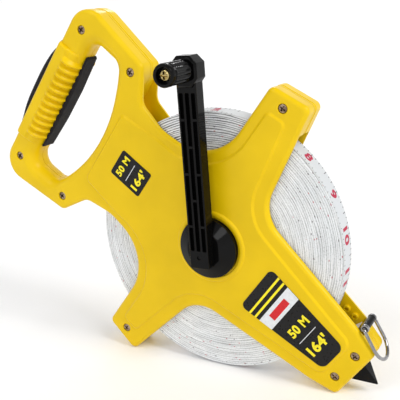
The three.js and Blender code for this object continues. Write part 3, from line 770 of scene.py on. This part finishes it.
def outer_wall(bm, side):
    """The outside of a shell: a narrow sunk band at the seam, then the wall and its rounded edge."""
    seam = [
        (-SEAM_STEP, side * SEAM), (-SEAM_STEP, side * (SEAM_BAND - 0.1)),
        (-SEAM_STEP * 0.6, side * SEAM_BAND), (0, side * (SEAM_BAND + 0.2)),
    ]
    edge = quarter(0, side * (RIM_FACE - EDGE_FILLET), EDGE_FILLET, side, 7)
    return wall(bm, symmetric(OUTLINE), seam + edge)


def opening_wall(bm, side):
    """The wall of the hand opening: a small fillet towards the spool, and a large one round the grip."""
    outline = hand_opening()
    fillets = [OPENING_FILLET + (GRIP_FILLET - OPENING_FILLET) * smooth_step(point.x, *FILLET_CHANGE)
               for point, _ in outline]
    profiles = [[(0, side * SEAM), *quarter(0, side * (RIM_FACE - fillet), fillet, side, 9)]
                for fillet in fillets]
    return wall(bm, outline, *profiles)


def shell_blank(side):
    """The outer skin of one shell, solid inside, before anything is cut away."""
    bm = bmesh.new()
    base_outer, rim_outer = outer_wall(bm, side)
    base_hole, rim_hole = opening_wall(bm, side)
    start, end = PLATEAU_SLOPE
    slope = []
    for share in shares(8):
        depth = RIM_FACE + (PLATEAU_FACE - RIM_FACE) * smooth_step(share)
        slope.append((start + (end - start) * share, side * depth))
    plateau_foot, plateau_top = wall(bm, symmetric(PLATEAU), slope)
    fill(bm, base_outer, base_hole)
    fill(bm, rim_outer, rim_hole, plateau_foot)
    fill(bm, plateau_top)
    return to_mesh(bm)


def grip_section():
    """The block's cross-section as (point, normal) steps in U and depth, from its inner foot over to
    its outer edge."""
    low, high, _ = GRIP_BLOCK
    across, down = GRIP_ROLL
    path = []
    for share in shares(24):
        spoke = direction(math.pi - QUARTER * share)
        place = Vector((low + across * (1 + spoke.x), GRIP_FACE - down * (1 - spoke.y)))
        path.append((place, Vector((spoke.x / across, spoke.y / down)).normalized()))
    flat = high - low - across - GRIP_EDGE
    for share in shares(16, 1):
        path.append((Vector((low + across + flat * share, GRIP_FACE)), Vector((0, 1))))
    centre = Vector((high - GRIP_EDGE, GRIP_FACE - GRIP_EDGE))
    for share in shares(8, 1):
        spoke = direction(QUARTER - QUARTER * share)
        path.append((centre + spoke * GRIP_EDGE, spoke))
    return path


def grip_block(side):
    """The raised block on the handle, rolled over on its finger side, with a row of ridges there."""
    half = GRIP_BLOCK[2]
    columns = 260
    foot_depth = GRIP_FACE - GRIP_ROLL[1] - RIB_SINK
    bm = bmesh.new()
    grid = []
    for place, normal in grip_section():
        line = []
        fade = smooth_step(place.y, foot_depth + RIB_SINK, foot_depth + 3)
        fade *= 1 - smooth_step(place.x, *RIB_FADE)
        for share in shares(columns):
            v = -half + 2 * half * share
            rim = 1 - min(1.0, (half - abs(v)) / GRIP_END_EDGE)
            end_drop = GRIP_END_EDGE * (1 - math.sqrt(1 - rim * rim))
            row = v / RIB_PITCH + (GRIP_RIBS - 1) / 2
            ridge = 0.0
            if -0.5 < row < GRIP_RIBS - 0.5:
                ridge = (0.5 + 0.5 * math.cos(2 * math.pi * (row - round(row)))) ** RIB_SHARPNESS
            point = place + normal * (RIB_HEIGHT * ridge - RIB_SINK) * fade
            depth = max(foot_depth + 0.3, point.y - end_drop)
            line.append(bm.verts.new((point.x, v, side * depth)))
        grid.append(line)
    for line, after in zip(grid, grid[1:]):
        for j in range(columns):
            bm.faces.new((line[j], after[j], after[j + 1], line[j + 1]))
    rim = grid[0][:-1] + [line[-1] for line in grid[:-1]]
    rim += grid[-1][:0:-1] + [line[0] for line in grid[:0:-1]]
    foot = [bm.verts.new((vert.co.x, vert.co.y, side * foot_depth)) for vert in rim]
    band(bm, rim, foot)
    fill(bm, foot)
    return to_mesh(bm)


def shell(side):
    """One half of the frame, for the front (side -1) or the rear (side +1)."""
    body = join(shell_blank(side), grip_block(side))
    below = -side * 1.0
    inner, recess = side * INNER_FACE, side * FLANGE_RECESS
    cavity = turned([
        (0, below), (CAVITY_RADIUS, below), (CAVITY_RADIUS, inner),
        (FLANGE_RECESS_RADIUS, inner), (FLANGE_RECESS_RADIUS, recess), (0, recess),
    ], 180)
    root_length, root_width, root_depth = SPIKE_ROOT
    root = rectangle(NOSE_END - 1, NOSE_END + root_length, -root_width, root_width)
    tools = [cavity, slab(root, below, side * (root_depth + 0.02))]
    for hollow in (NECK_RECESS, mirrored(NECK_RECESS), TAPE_MOUTH):
        tools.append(slab(rounded(hollow), below, inner))
    bush_bore = disc(FRONT_BUSH_RADIUS if side < 0 else REAR_BUSH_RADIUS, side * 7, side * 14, 48)
    if side < 0:
        body = join(body, turned([(HUB_RADIUS + gap, depth) for gap, depth in HUB_RIM], 96))
        tools += [bush_bore, *(turned(SCREW_SEAT, 32, place) for place in SCREW_PLACES)]
    else:
        tools += [bush_bore, turned(CAP_SEAT, 64)]
    body = cut(body, *tools)
    top, foot = side * (INNER_FACE - GUIDE_POST_HEIGHT), side * (INNER_FACE + 0.6)
    post = [(GUIDE_HOLE_RADIUS, foot), (GUIDE_POST_RADIUS, foot), (GUIDE_POST_RADIUS, top + side * 0.3),
            (GUIDE_POST_RADIUS - 0.3, top), (GUIDE_HOLE_RADIUS, top)]
    return join(body, *(turned(post, 28, place) for place in GUIDE_POSTS))


def make_shells():
    for side, name, node in ((-1, "front_shell", "front_frame"), (1, "rear_shell", "rear_frame")):
        piece(name, shell(side), FRAME_PLAN, YELLOW, "frame", "yellow_abs", [node])


# ---- Screws, cap and spike ----


def cross_tool(radius, face, floor, origin):
    """A tapered cross that cuts a driver recess from a face down to a floor."""
    out = math.copysign(1, face - floor)
    arm, half = radius * 0.66, radius * 0.15
    tools = []
    for turn in (0, QUARTER):
        reach = direction(turn) * arm
        across = direction(turn + QUARTER) * half
        corners = [reach + across, across - reach, -reach - across, reach - across]
        plan = rounded([(*(Vector(origin) + corner), 0) for corner in corners])
        tools.append(loft(plan, [(-half * 0.45, floor), (half * 0.35, face + out * 0.4)]))
    return tools


def screw_mesh(origin, radius, shank, face, dome, foot, tip):
    """A cross-recessed screw pointing away from its face: a domed head and a plain shank."""
    inward = math.copysign(1, foot - face)
    profile = [(0, face)]
    for share in shares(6, 1):
        spoke = direction(QUARTER * share)
        profile.append((radius * spoke.y, face + inward * dome * (1 - spoke.x)))
    profile += [(radius, foot), (shank, foot), (shank, tip - inward * 0.8), (0.4, tip), (0, tip)]
    head = turned(profile, 32, origin)
    return cut(head, *cross_tool(radius, face, face + inward * (abs(foot - face) * 0.85), origin))


def make_fasteners():
    for i, place in enumerate(SCREW_PLACES, 1):
        mesh = screw_mesh(place, SCREW_HEAD_RADIUS, SCREW_SHANK_RADIUS, **SCREW_HEAD)
        piece(f"case_screw_{i}", mesh, FRAME_PLAN, STEEL, "frame", "screw_steel", [f"frame_screw_{i}"])
    piece("axle_cover", turned(CAP, 72), FRAME_PLAN, BLACK, "frame", "black_plastic", ["rear_cap"])


def make_spike():
    """The four-sided ground spike, with worn edges and a root that sits in the nose."""
    base = NOSE_END - 0.3
    tip = base - SPIKE_LENGTH
    length, width, depth = SPIKE_ROOT
    sections = [
        (NOSE_END + length - 0.2, width - 0.2, depth - 0.2), (base, width - 0.2, depth - 0.2),
        (base, SPIKE_HALF_WIDTH, SPIKE_HALF_DEPTH), (base - 0.6, SPIKE_HALF_WIDTH, SPIKE_HALF_DEPTH),
        (tip, *SPIKE_TIP),
    ]
    bm = bmesh.new()
    signs = ((1, 1), (-1, 1), (-1, -1), (1, -1))
    loops = [[bm.verts.new((u, v * half_v, y * half_y)) for v, y in signs] for u, half_v, half_y in sections]
    for end in skin(bm, loops):
        bm.faces.new(end)
    made = piece("ground_spike", to_mesh(bm), FRAME_PLAN, BLACK, "frame", "black_plastic", ["spike"],
                 weighted=False)
    modify(made, "worn_edges", "BEVEL", width=SPIKE_EDGE * MM, segments=3, limit_method="ANGLE",
           angle_limit=math.radians(30))


# ---- Rubbers ----


def make_rubbers():
    """The palm's swell outside the handle's bar, and the thin strip on the finger side."""
    back = HANDLE_END + 0.3
    corners = []
    for share in shares(48):
        place = 2 * share - 1
        corners.append((back + 0.4 + PALM_SWELL * (1 - abs(place) ** 3), PALM_HALF_LENGTH * place, 0))
    corners += [(back, PALM_HALF_LENGTH, 0), (back, -PALM_HALF_LENGTH, 0)]
    mesh = slab(rounded(corners), -PALM_HALF_WIDTH, PALM_HALF_WIDTH)
    soften(mesh, back)
    piece("palm_rubber", mesh, FRAME_PLAN, RUBBER, "frame", "grip_rubber", ["grip_rubber_outer"])
    finger = pillow(symmetric(FINGER_CORNERS), -FINGER_HALF_WIDTH, FINGER_HALF_WIDTH, FINGER_EDGE)
    piece("finger_rubber", finger, FRAME_PLAN, RUBBER, "frame", "grip_rubber", ["grip_rubber_inner"])


def soften(mesh, back):
    """Rounds the palm strip across its width, keeping its flat back where it is."""
    bm = bmesh.new()
    bm.from_mesh(mesh)
    for _ in range(3):
        edges = [edge for edge in bm.edges if abs(edge.verts[0].co.z - edge.verts[1].co.z) > 1]
        bmesh.ops.subdivide_edges(bm, edges=edges, cuts=1, use_grid_fill=True)
    for vert in bm.verts:
        rise = max(0.0, vert.co.x - back)
        across = abs(vert.co.z) / PALM_HALF_WIDTH
        drop = min(rise * 0.85, PALM_CROWN * across ** 4 * min(1, rise / 2))
        vert.co.x -= drop
    bm.to_mesh(mesh)
    bm.free()


# ---- Labels ----


def digits(text, width, height, bold=0.016, thick=0.03):
    """Text as a closed mesh of a given size, centred, reading along +X with its face towards +Z. The
    weight is a share of the font's size, in which a numeral is about 0.7 tall."""
    size = height / 0.7
    curve = bpy.data.curves.new("digits", "FONT")
    settings = {
        "body": text, "size": size, "offset": 0.025 * size, "bevel_depth": bold * size,
        "bevel_resolution": 0, "extrude": thick, "resolution_u": 6, "align_x": "CENTER",
        "align_y": "CENTER", "space_character": 1.08,
    }
    for key, value in settings.items():
        setattr(curve, key, value)
    mesh = finished_mesh(new_object("digits", curve))
    bpy.data.curves.remove(curve)
    low = Vector(map(min, zip(*(vert.co for vert in mesh.vertices))))
    high = Vector(map(max, zip(*(vert.co for vert in mesh.vertices))))
    mesh.transform(Matrix.Translation(-(low + high) / 2))
    mesh.transform(Matrix.Diagonal((width / (high.x - low.x), height / (high.y - low.y), 1, 1)))
    bm = bmesh.new()
    bm.from_mesh(mesh)
    bmesh.ops.remove_doubles(bm, verts=bm.verts, dist=1e-4)
    bm.to_mesh(mesh)
    bm.free()
    return mesh


def on_label(u):
    """Takes text into the plan so that it reads along +V on a label's face."""
    return FRAME_PLAN @ Matrix(((0, 1, 0, u), (1, 0, 0, 0), (0, 0, -1, -LABEL_FACE - 0.04), (0, 0, 0, 1)))


def strip(u0, u1, half0, half1, foot, rise, corner):
    """A printed strip across a label, half0 and half1 wide either side at its two ends, from foot under
    the label's face to rise over it."""
    return slab(symmetric([(u0, half0, corner), (u1, half1, corner)]), -LABEL_FACE + foot, -LABEL_FACE - rise)


def nose_half_width(u):
    """Half the nose label's width at a place along it."""
    (start, wide, _), (end, narrow, _) = NOSE_LABEL
    return wide + (narrow - wide) * (u - start) / (end - start)


def make_labels():
    def printed(name, mesh, ink, plan=FRAME_PLAN, **settings):
        piece(name, mesh, plan, ink, "frame", "label_print", **settings)

    def along(share):
        start, end = NOSE_LABEL[0][0], NOSE_LABEL[1][0]
        return start + (end - start) * share

    edge = [(0, -LABEL_BACK), (0, -LABEL_FACE + 0.12), (-0.12, -LABEL_FACE)]
    for place, outline in (("nose", NOSE_LABEL), ("side", SIDE_LABEL)):
        printed(place + "_sticker", loft(symmetric(outline), edge), LABEL_BLACK, replaces=["label_" + place])
    bands = [
        ("stripe_1", 0.105, 0.128, INK_YELLOW), ("stripe_2", 0.172, 0.195, INK_YELLOW),
        ("silver_band", 0.235, 0.388, INK_SILVER),
    ]
    for name, start, end, ink in bands:
        u0, u1 = along(start), along(end)
        halves = nose_half_width(u0) - 0.03, nose_half_width(u1) - 0.03
        printed("nose_" + name, strip(u0, u1, *halves, 0.02, 0.05, 0.05), ink)
    printed("nose_red_block", strip(along(0.277), along(0.352), 8.2, 8.2, 0, 0.09, 0.3), INK_RED)
    rows = [
        ("nose_metres", "50 M", along(0.56), 17.0, 6.1), ("nose_feet", "164'", along(0.805), 16.6, 7.1),
        ("side_metres", "50 M", 76.4, 14.6, 4.9), ("side_feet", "164'", 62.6, 14.6, 5.6),
    ]
    for name, text, u, width, height in rows:
        printed(name, digits(text, width, height), INK_YELLOW, on_label(u), weighted=False)
    for name, u, half in (("nose_rule", along(0.677), 8.3), ("side_rule", 69.8, 6.6)):
        printed(name, strip(u + 0.22, u - 0.22, half, half, 0.02, 0.05, 0.1), INK_SILVER)


# ---- Tape ----

SPOOL_PLAN = plan_matrix(0)


def winding_mesh():
    """The wound tape as a closed ring whose side faces show each pair of turns."""
    random.seed(7)
    turns = int((PACK_RADIUS - DRUM_RADIUS) / TURN_PITCH)
    inner = PACK_RADIUS - turns * TURN_PITCH
    angles = [2 * math.pi * share for share in shares(288)[:-1]]
    waves = [[(random.uniform(-0.06, 0.04), random.uniform(0, 0.03), random.uniform(0, 2 * math.pi),
               random.randint(1, 3)) for _ in range(turns + 1)] for _ in range(2)]
    bm = bmesh.new()

    def ring(radius, depths):
        return [bm.verts.new((radius * math.cos(angle), radius * math.sin(angle), depth))
                for angle, depth in zip(angles, depths)]

    def side_face(side, wave):
        rings = []
        for turn, (shift, swing, phase, count) in enumerate(wave[:-1]):
            groove = side * (TAPE_HALF_WIDTH - TURN_SINK - TURN_GROOVE)
            rings.append(ring(inner + turn * TURN_PITCH, [groove] * len(angles)))
            crest = [side * (TAPE_HALF_WIDTH - TURN_SINK + shift + swing * math.cos(count * angle + phase))
                     for angle in angles]
            rings += [ring(inner + (turn + place) * TURN_PITCH, crest) for place in TURN_CREST]
        rings.append(ring(PACK_RADIUS, [side * (TAPE_HALF_WIDTH - RIM_SINK)] * len(angles)))
        return skin(bm, rings)

    for front, rear in zip(side_face(-1, waves[0]), side_face(1, waves[1])):
        band(bm, front, rear)
    return to_mesh(bm)


def wrapped(mesh, angle, radius, centre_depth):
    """Bends a flat mesh onto the outer turn: its X runs clockwise as seen from the front, its Y
    towards the rear and its Z outwards."""
    for vert in mesh.vertices:
        x, y, z = vert.co
        turn = angle - x / radius
        vert.co = ((radius + z) * math.cos(turn), -(radius + z) * math.sin(turn), centre_depth + y)
    mesh.flip_normals()
    return mesh


def merged(meshes):
    bm = bmesh.new()
    for mesh in meshes:
        bm.from_mesh(mesh)
    return to_mesh(bm)


def tick(width, start, end, thick=0.03):
    return slab(rectangle(-width / 2, width / 2, start, end), -thick, thick)


def number_mesh(number):
    """The red numeral of an inch, or the black one of the foot in place of a twelfth inch."""
    if number == 12:
        return digits("6", *FOOT_NUMBER, *NUMBER_WEIGHT)
    width = 2.6 if number == 1 else 5.2 if number < 10 else 10.6
    return digits(str(number), width, NUMBER_HEIGHT, *NUMBER_WEIGHT)


def make_tape():
    piece("wound_tape", winding_mesh(), SPOOL_PLAN, WINDING, "reel", "tape_fibreglass", ["tape_pack"],
          origin=SPOOL, smooth=60, weighted=False)
    surface = PACK_RADIUS + 0.03
    per_inch = INCH / surface
    edge = TAPE_HALF_WIDTH - TAPE_MARGIN
    reds, feet, ticks = [], [], []
    for i in range(int(2 * math.pi / per_inch)):
        number = (i + FIRST_NUMBER - 1) % 12 + 1
        angle = NINE_AND_A_HALF_ANGLE + per_inch * (9.5 - FIRST_NUMBER - i)
        (feet if number == 12 else reds).append(wrapped(number_mesh(number), angle, surface, 0.2))
        for eighth, length in enumerate(TICK_LENGTHS):
            place = angle + per_inch * (0.5 + eighth / 8)
            width, low_length = LOW_TICK
            ticks.append(wrapped(tick(TICK_WIDTH, edge - length, edge), place, surface, 0))
            ticks.append(wrapped(tick(width, -edge, low_length - edge), place, surface, 0))
    prints = (("inch_numbers", reds, TAPE_RED), ("foot_numbers", feet, TAPE_BLACK),
              ("scale_ticks", ticks, TAPE_BLACK))
    for name, parts, ink in prints:
        piece(name, merged(parts), SPOOL_PLAN, ink, "reel", "tape_fibreglass", weighted=False)


# ---- Tape end ----


def tape_end_plans():
    """Plans of the clip and of the ring, each with the eye at the origin."""
    foot, chamfer = Vector(OUTLINE[NOSE_FOOT][:2]), Vector(OUTLINE[NOSE_FOOT - 1][:2])
    along = (foot - chamfer).normalized()
    outward = Vector((along.y, -along.x))
    eye = chamfer + outward * EYE_STANDOFF + along * EYE_ALONG
    reach = PACK_RADIUS + LEAD_STANDOFF
    tangent_angle = math.atan2(eye.y, eye.x) + math.acos(reach / eye.length)
    lead = eye - direction(tangent_angle) * reach
    lead_angle = math.atan2(lead.y, lead.x)
    ring_angle = math.atan2(along.y, along.x) + RING_LEAN
    return plan_turned(lead_angle), plan_turned(ring_angle)


def plan_turned(angle):
    """The frame's plan turned by an angle about the eye."""
    return plan_matrix(STANCE, EYE) @ Matrix.Rotation(angle, 4, "Z")


SWAP_V_DEPTH = Matrix(((1, 0, 0, 0), (0, 0, -1, 0), (0, 1, 0, 0), (0, 0, 0, 1)))


def clip_mesh():
    """The folded end clip: two plates over the tape, rolled into an ear at each side of the sleeve."""
    inner, outer = CLIP_EAR
    bore = WIRE_RADIUS + WIRE_GAP
    ears, plates = [], []
    for side in (-1, 1):
        ears.append(turned([
            (bore, side * inner), (EYE_RADIUS - 0.3, side * inner), (EYE_RADIUS, side * (inner + 0.3)),
            (EYE_RADIUS, side * (outer - 0.4)), (EYE_RADIUS - 0.4, side * outer),
            (WIRE_RADIUS + 0.4, side * outer), (bore, side * (outer - 0.3)),
        ], 32))
        neck = [(-3.2, side * inner, 0), (-3.2, side * (CLIP_HALF_WIDTH + 0.2), 0),
                (-1.4, side * (outer - 0.3), 0), (-1.4, side * inner, 0)]
        plates.append(pillow(rounded(neck[::side]), -1.1, 1.1, 0.2))
        outline = rectangle(*CLIP_PLATE, -CLIP_HALF_WIDTH, CLIP_HALF_WIDTH, 0.6)
        plates.append(pillow(outline, *sorted(side * depth for depth in CLIP_PLATE_DEPTH), 0.25))
    for mesh in plates:
        mesh.transform(SWAP_V_DEPTH)
    return join(*ears, *plates)


def wire_loop():
    """The D-shaped ring: a straight bar through the eye, two sides and a rounded end."""
    shoulder = RING_HALF_WIDTH + RING_FLARE
    straight = RING_LENGTH - shoulder
    corner = Vector((RING_CORNER, RING_HALF_WIDTH - RING_CORNER))
    half = [corner + direction(math.pi - QUARTER * share) * RING_CORNER for share in shares(6)]
    for share in shares(6, 1)[:-1]:
        along = RING_CORNER + (straight - RING_CORNER) * share
        half.append(Vector((along, RING_HALF_WIDTH + RING_FLARE * share)))
    for share in shares(12)[:-1]:
        half.append(Vector((straight, 0)) + direction(QUARTER - QUARTER * share) * shoulder)
    other = [Vector((point.x, -point.y)) for point in reversed(half)]
    bar = [Vector((0, corner.y * (2 * share - 1))) for share in shares(10, 1)[:-1]]
    return [*half, Vector((RING_LENGTH, 0)), *other, *bar]


def wire_mesh(path, sides=16):
    """A round wire along a closed path in the plan of U and depth."""
    bm = bmesh.new()
    rings = []
    for i, point in enumerate(path):
        along = (path[(i + 1) % len(path)] - path[i - 1]).normalized()
        across = Vector((along.y, -along.x))
        ring = []
        for share in shares(sides)[:-1]:
            spoke = direction(2 * math.pi * share) * WIRE_RADIUS
            out = point + across * spoke.x
            ring.append(bm.verts.new((out.x, spoke.y, out.y)))
        rings.append(ring)
    skin(bm, rings, closed=True)
    return to_mesh(bm)


def make_tape_end():
    clip_plan, ring_plan = tape_end_plans()
    piece("folded_clip", clip_mesh(), clip_plan, CHROME, "frame", "chrome_wire", ["tape_end_clip"])
    bore, end, edge = WIRE_RADIUS + WIRE_GAP, SLEEVE_HALF_LENGTH, 0.3
    sleeve = turned([
        (bore, -end), (SLEEVE_RADIUS - edge, -end), (SLEEVE_RADIUS, -end + edge),
        (SLEEVE_RADIUS, end - edge), (SLEEVE_RADIUS - edge, end), (bore, end),
    ], 40)
    piece("wire_sleeve", sleeve, clip_plan, BLACK, "frame", "black_plastic", ["tape_end_sleeve"])
    piece("wire_ring", wire_mesh(wire_loop()), ring_plan, CHROME, "ring", "chrome_wire", ["end_ring"],
          weighted=False)


# ---- Crank ----


def bar_outline(low, high, half, low_corner, high_corner):
    """A bar along the crank, with a corner radius for each end."""
    return symmetric([(high, half, high_corner), (low, half, low_corner)])


def cell_cutter(lane, start, end, depth, mouth):
    """Cuts a long cell into the front of the arm, with sides that its mouth's steps shape."""
    inset, half, floor = CELL_WALL / 2, CELL_HALF_WIDTH, depth - ARM_FRONT
    outline = rectangle(start + inset, end - inset, lane - half, lane + half, 0.6, math.radians(20))
    return loft(outline, [(-0.35, floor), (-0.2, floor - 0.15), *mouth])


def arm_mesh():
    """The crank's arm, with its faceted boss, three rows of cells and the bores and nut's seat."""
    edge = quarter(0, -ARM_FRONT + 0.7, 0.7, -1, 4)
    bar = loft(bar_outline(ARM_END, CRANK_RADIUS - 2, ARM_HALF_WIDTH, 1.2, 1),
               [(-0.4, -ARM_BACK), (0, -ARM_BACK - 0.4), *edge])
    narrow = BOSS_HALF - BOSS_CHAMFER
    plan = [
        (CRANK_RADIUS + BOSS_HALF, narrow, 0), (CRANK_RADIUS + BOSS_CHAMFER, BOSS_HALF, 0),
        (CRANK_RADIUS - BOSS_CHAMFER, BOSS_HALF, 0), (CRANK_RADIUS - BOSS_HALF - 1, narrow, 0),
    ]
    boss = loft(symmetric(plan), [
        (-0.4, -ARM_BACK), (0, -ARM_BACK - 0.4), (0, -BOSS_FRONT + 1.3), (-0.15, -BOSS_FRONT + 1.05),
        (-1.1, -BOSS_FRONT + 0.12), (-1.4, -BOSS_FRONT),
    ])
    groove_mouth = [(-0.02, -ARM_FRONT + 0.2), (0.2, -ARM_FRONT - 0.02), (0.4, -ARM_FRONT - 0.6)]
    cell_mouth = [(-0.1, -ARM_FRONT + 0.3), (-0.1, -ARM_FRONT - 0.3)]
    cutters = []
    for lane, ends in CELL_LANES:
        cutters.append(cell_cutter(lane, ends[0], ends[-1], GROOVE_DEPTH, groove_mouth))
        cutters += [cell_cutter(lane, *pair, CELL_DEPTH, cell_mouth) for pair in zip(ends, ends[1:])]
    knob_axis = (CRANK_RADIUS, 0)
    dimple = [(0, -ARM_FRONT + 1.0), (1.0, -ARM_FRONT + 0.8), (1.3, -ARM_FRONT - 0.05), (1.3, -29), (0, -29)]
    cutters += [
        disc(AXLE_BORE, 0, -24.3), disc(KNOB_BORE, 0, -32, origin=knob_axis),
        disc(KNOB_NUT_RADIUS, 0, -ARM_BACK - KNOB_NUT_THICKNESS - 0.3, 6, knob_axis),
        turned(dimple, 24, (-2.2, 0)),
    ]
    return cut(join(bar, boss), *cutters)


def hub_mesh():
    """The hub disc: a flat face, a cone down to its edge, a seat for the arm and a square tongue that
    drives the spool."""
    cone_in, cone_out = HUB_FACE_RADIUS + 0.3, HUB_RADIUS - 0.5
    journal, journal_end = 9, -6.6
    profile = [(AXLE_BORE, journal_end), (AXLE_BORE, -HUB_FACE), (HUB_FACE_RADIUS - 0.2, -HUB_FACE),
               (cone_in, -HUB_FACE + 0.1)]
    for share in shares(6, 1):
        profile.append((cone_in + (cone_out - cone_in) * share,
                        -HUB_FACE + 0.1 + (HUB_FACE - HUB_EDGE - 0.4) * share))
    profile += [(HUB_RADIUS, -HUB_EDGE), (HUB_RADIUS, -HUB_BACK - 0.3), (HUB_RADIUS - 0.3, -HUB_BACK),
                (journal, -HUB_BACK), (journal, journal_end)]
    square = rectangle(-TONGUE_HALF, TONGUE_HALF, -TONGUE_HALF, TONGUE_HALF, 0.4)
    tongue = cut(slab(square, -3.4, -7), disc(AXLE_BORE, 0, -8))
    seat = slab(bar_outline(ARM_END - 0.3, HUB_RADIUS + 1, ARM_HALF_WIDTH + 0.15, 1.2, 0),
                -ARM_BACK + 0.15, -HUB_FACE - 1)
    return cut(join(turned(profile, 96), tongue), seat)


def knob_mesh():
    """The turning knob: a fluted barrel, a smooth collar and a mouth for the screw's head."""
    sides = KNOB_FLUTES * 10
    low, high = KNOB_BACK + 1.2, KNOB_COLLAR - 0.6
    mouth_radius, mouth_depth = KNOB_MOUTH
    profile = [(KNOB_BORE, KNOB_BACK), (6.0, KNOB_BACK), (6.4, KNOB_BACK + 0.4)]
    profile += [(KNOB_RADIUS, low + (high - low) * share) for share in shares(14)]
    profile += [
        (KNOB_COLLAR_RADIUS, KNOB_COLLAR), (KNOB_COLLAR_RADIUS, KNOB_COLLAR + 0.5),
        (KNOB_RADIUS, KNOB_COLLAR + 0.9), (KNOB_RADIUS, KNOB_FRONT - 1.2), (6.25, KNOB_FRONT - 0.4),
        (5.4, KNOB_FRONT), (4.9, KNOB_FRONT), (mouth_radius, KNOB_FRONT - 0.4),
        (mouth_radius, KNOB_FRONT - mouth_depth), (KNOB_BORE, KNOB_FRONT - mouth_depth),
    ]
    bm = bmesh.new()
    rings = []
    for radius, front in profile:
        ring = []
        fade = max(0.0, min(1.0, front - low, high - front)) if radius == KNOB_RADIUS else 0.0
        for i in range(sides):
            angle = 2 * math.pi * i / sides
            flute = (0.5 - 0.5 * math.cos(KNOB_FLUTES * angle)) ** 1.6
            spoke = direction(angle) * (radius - FLUTE_DEPTH * flute * fade)
            ring.append(bm.verts.new((CRANK_RADIUS + spoke.x, spoke.y, -front)))
        rings.append(ring)
    skin(bm, rings, closed=True)
    return to_mesh(bm)


def make_crank():
    piece("crank_lever", arm_mesh(), CRANK_PLAN, BLACK, "reel", "black_plastic", ["crank_arm"])
    piece("hub_disc", hub_mesh(), CRANK_PLAN, BLACK, "reel", "black_plastic", ["crank_hub"])
    piece("turning_knob", knob_mesh(), CRANK_PLAN, BLACK, "knob", "black_plastic", ["knob"])
    screw = screw_mesh((CRANK_RADIUS, 0), KNOB_SCREW_HEAD_RADIUS, KNOB_SCREW_SHANK_RADIUS, **KNOB_SCREW_HEAD)
    piece("knob_pivot_screw", screw, CRANK_PLAN, BRASS, "reel", "knob_brass", ["knob_screw"])


# ---- Carried-over CAD nodes ----


def paint_nodes():
    finishes = {
        "front_bush": NYLON, "rear_bush": NYLON, "tape_lead": TAPE_CLOTH, "spool_core": SPOOL_GREY,
        "spool_flange_front": SPOOL_GREY, "spool_flange_rear": SPOOL_GREY, "tape_anchor_pin": STEEL,
        "axle_bolt": STEEL, "knob_nut": STEEL,
    }
    for node, material in finishes.items():
        mesh = frame["nodes"][node].data
        mesh.materials.clear()
        mesh.materials.append(material)


# ---- Studio ----


def make_floor():
    bm = bmesh.new()
    bmesh.ops.create_grid(bm, x_segments=40, y_segments=40, size=30)
    mesh = to_mesh(bm, "floor")
    shader = Shader("pale_floor", 0.9, specular=0.2)
    shader.colour(shader.drift(60, (0.95, 0.95, 0.955), (0.98, 0.98, 0.985), 0.0, 1.0, detail=3))
    mesh.materials.append(shader.material)
    floor = new_object("floor", mesh)
    floor.location.z = -0.2 * MM


def soft_light(name, toward, spread, strength):
    """An even, wide light from one direction, like a large softbox far away."""
    data = bpy.data.lights.new(name, "SUN")
    data.angle = math.radians(spread)
    data.energy = strength
    lamp = new_object(name, data)
    lamp.rotation_euler = (-Vector(toward)).to_track_quat("-Z", "Y").to_euler()


# Each light is its name, where it stands, its spread in degrees and its strength.
LIGHTS = [
    ("key", (-0.35, -0.9, 1.1), 24, 0.52), ("front", (0.16, -0.92, 0.35), 15, 0.2),
    ("top", (0.9, -0.17, 0.85), 26, 1.75), ("back", (-0.4, 0.9, 0.6), 60, 0.35),
    ("glint", (-0.33, 0.83, 0.45), 5, 0.15),
]


def make_studio():
    """The floor, the lights, and a sky that is white low down and darker overhead."""
    make_floor()
    for light in LIGHTS:
        soft_light(*light)
    world = bpy.data.worlds.new("studio")
    world.use_nodes = True
    tree = world.node_tree
    background = tree.nodes["Background"]
    background.inputs["Color"].default_value = (1, 1, 1, 1)
    heading = tree.nodes.new("ShaderNodeTexCoord")
    parts = tree.nodes.new("ShaderNodeSeparateXYZ")
    fade = tree.nodes.new("ShaderNodeMapRange")
    tree.links.new(heading.outputs["Generated"], parts.inputs[0])
    tree.links.new(parts.outputs["Z"], fade.inputs["Value"])
    for end, value in (("From Min", 0.05), ("From Max", 0.7), ("To Min", 1.02), ("To Max", 0.4)):
        fade.inputs[end].default_value = value
    tree.links.new(fade.outputs["Result"], background.inputs["Strength"])
    scene = bpy.context.scene
    scene.world = world
    scene.view_settings.view_transform = "Standard"


make_studio()
make_shells()
make_fasteners()
make_spike()
make_rubbers()
make_labels()
make_tape()
make_tape_end()
make_crank()
paint_nodes()
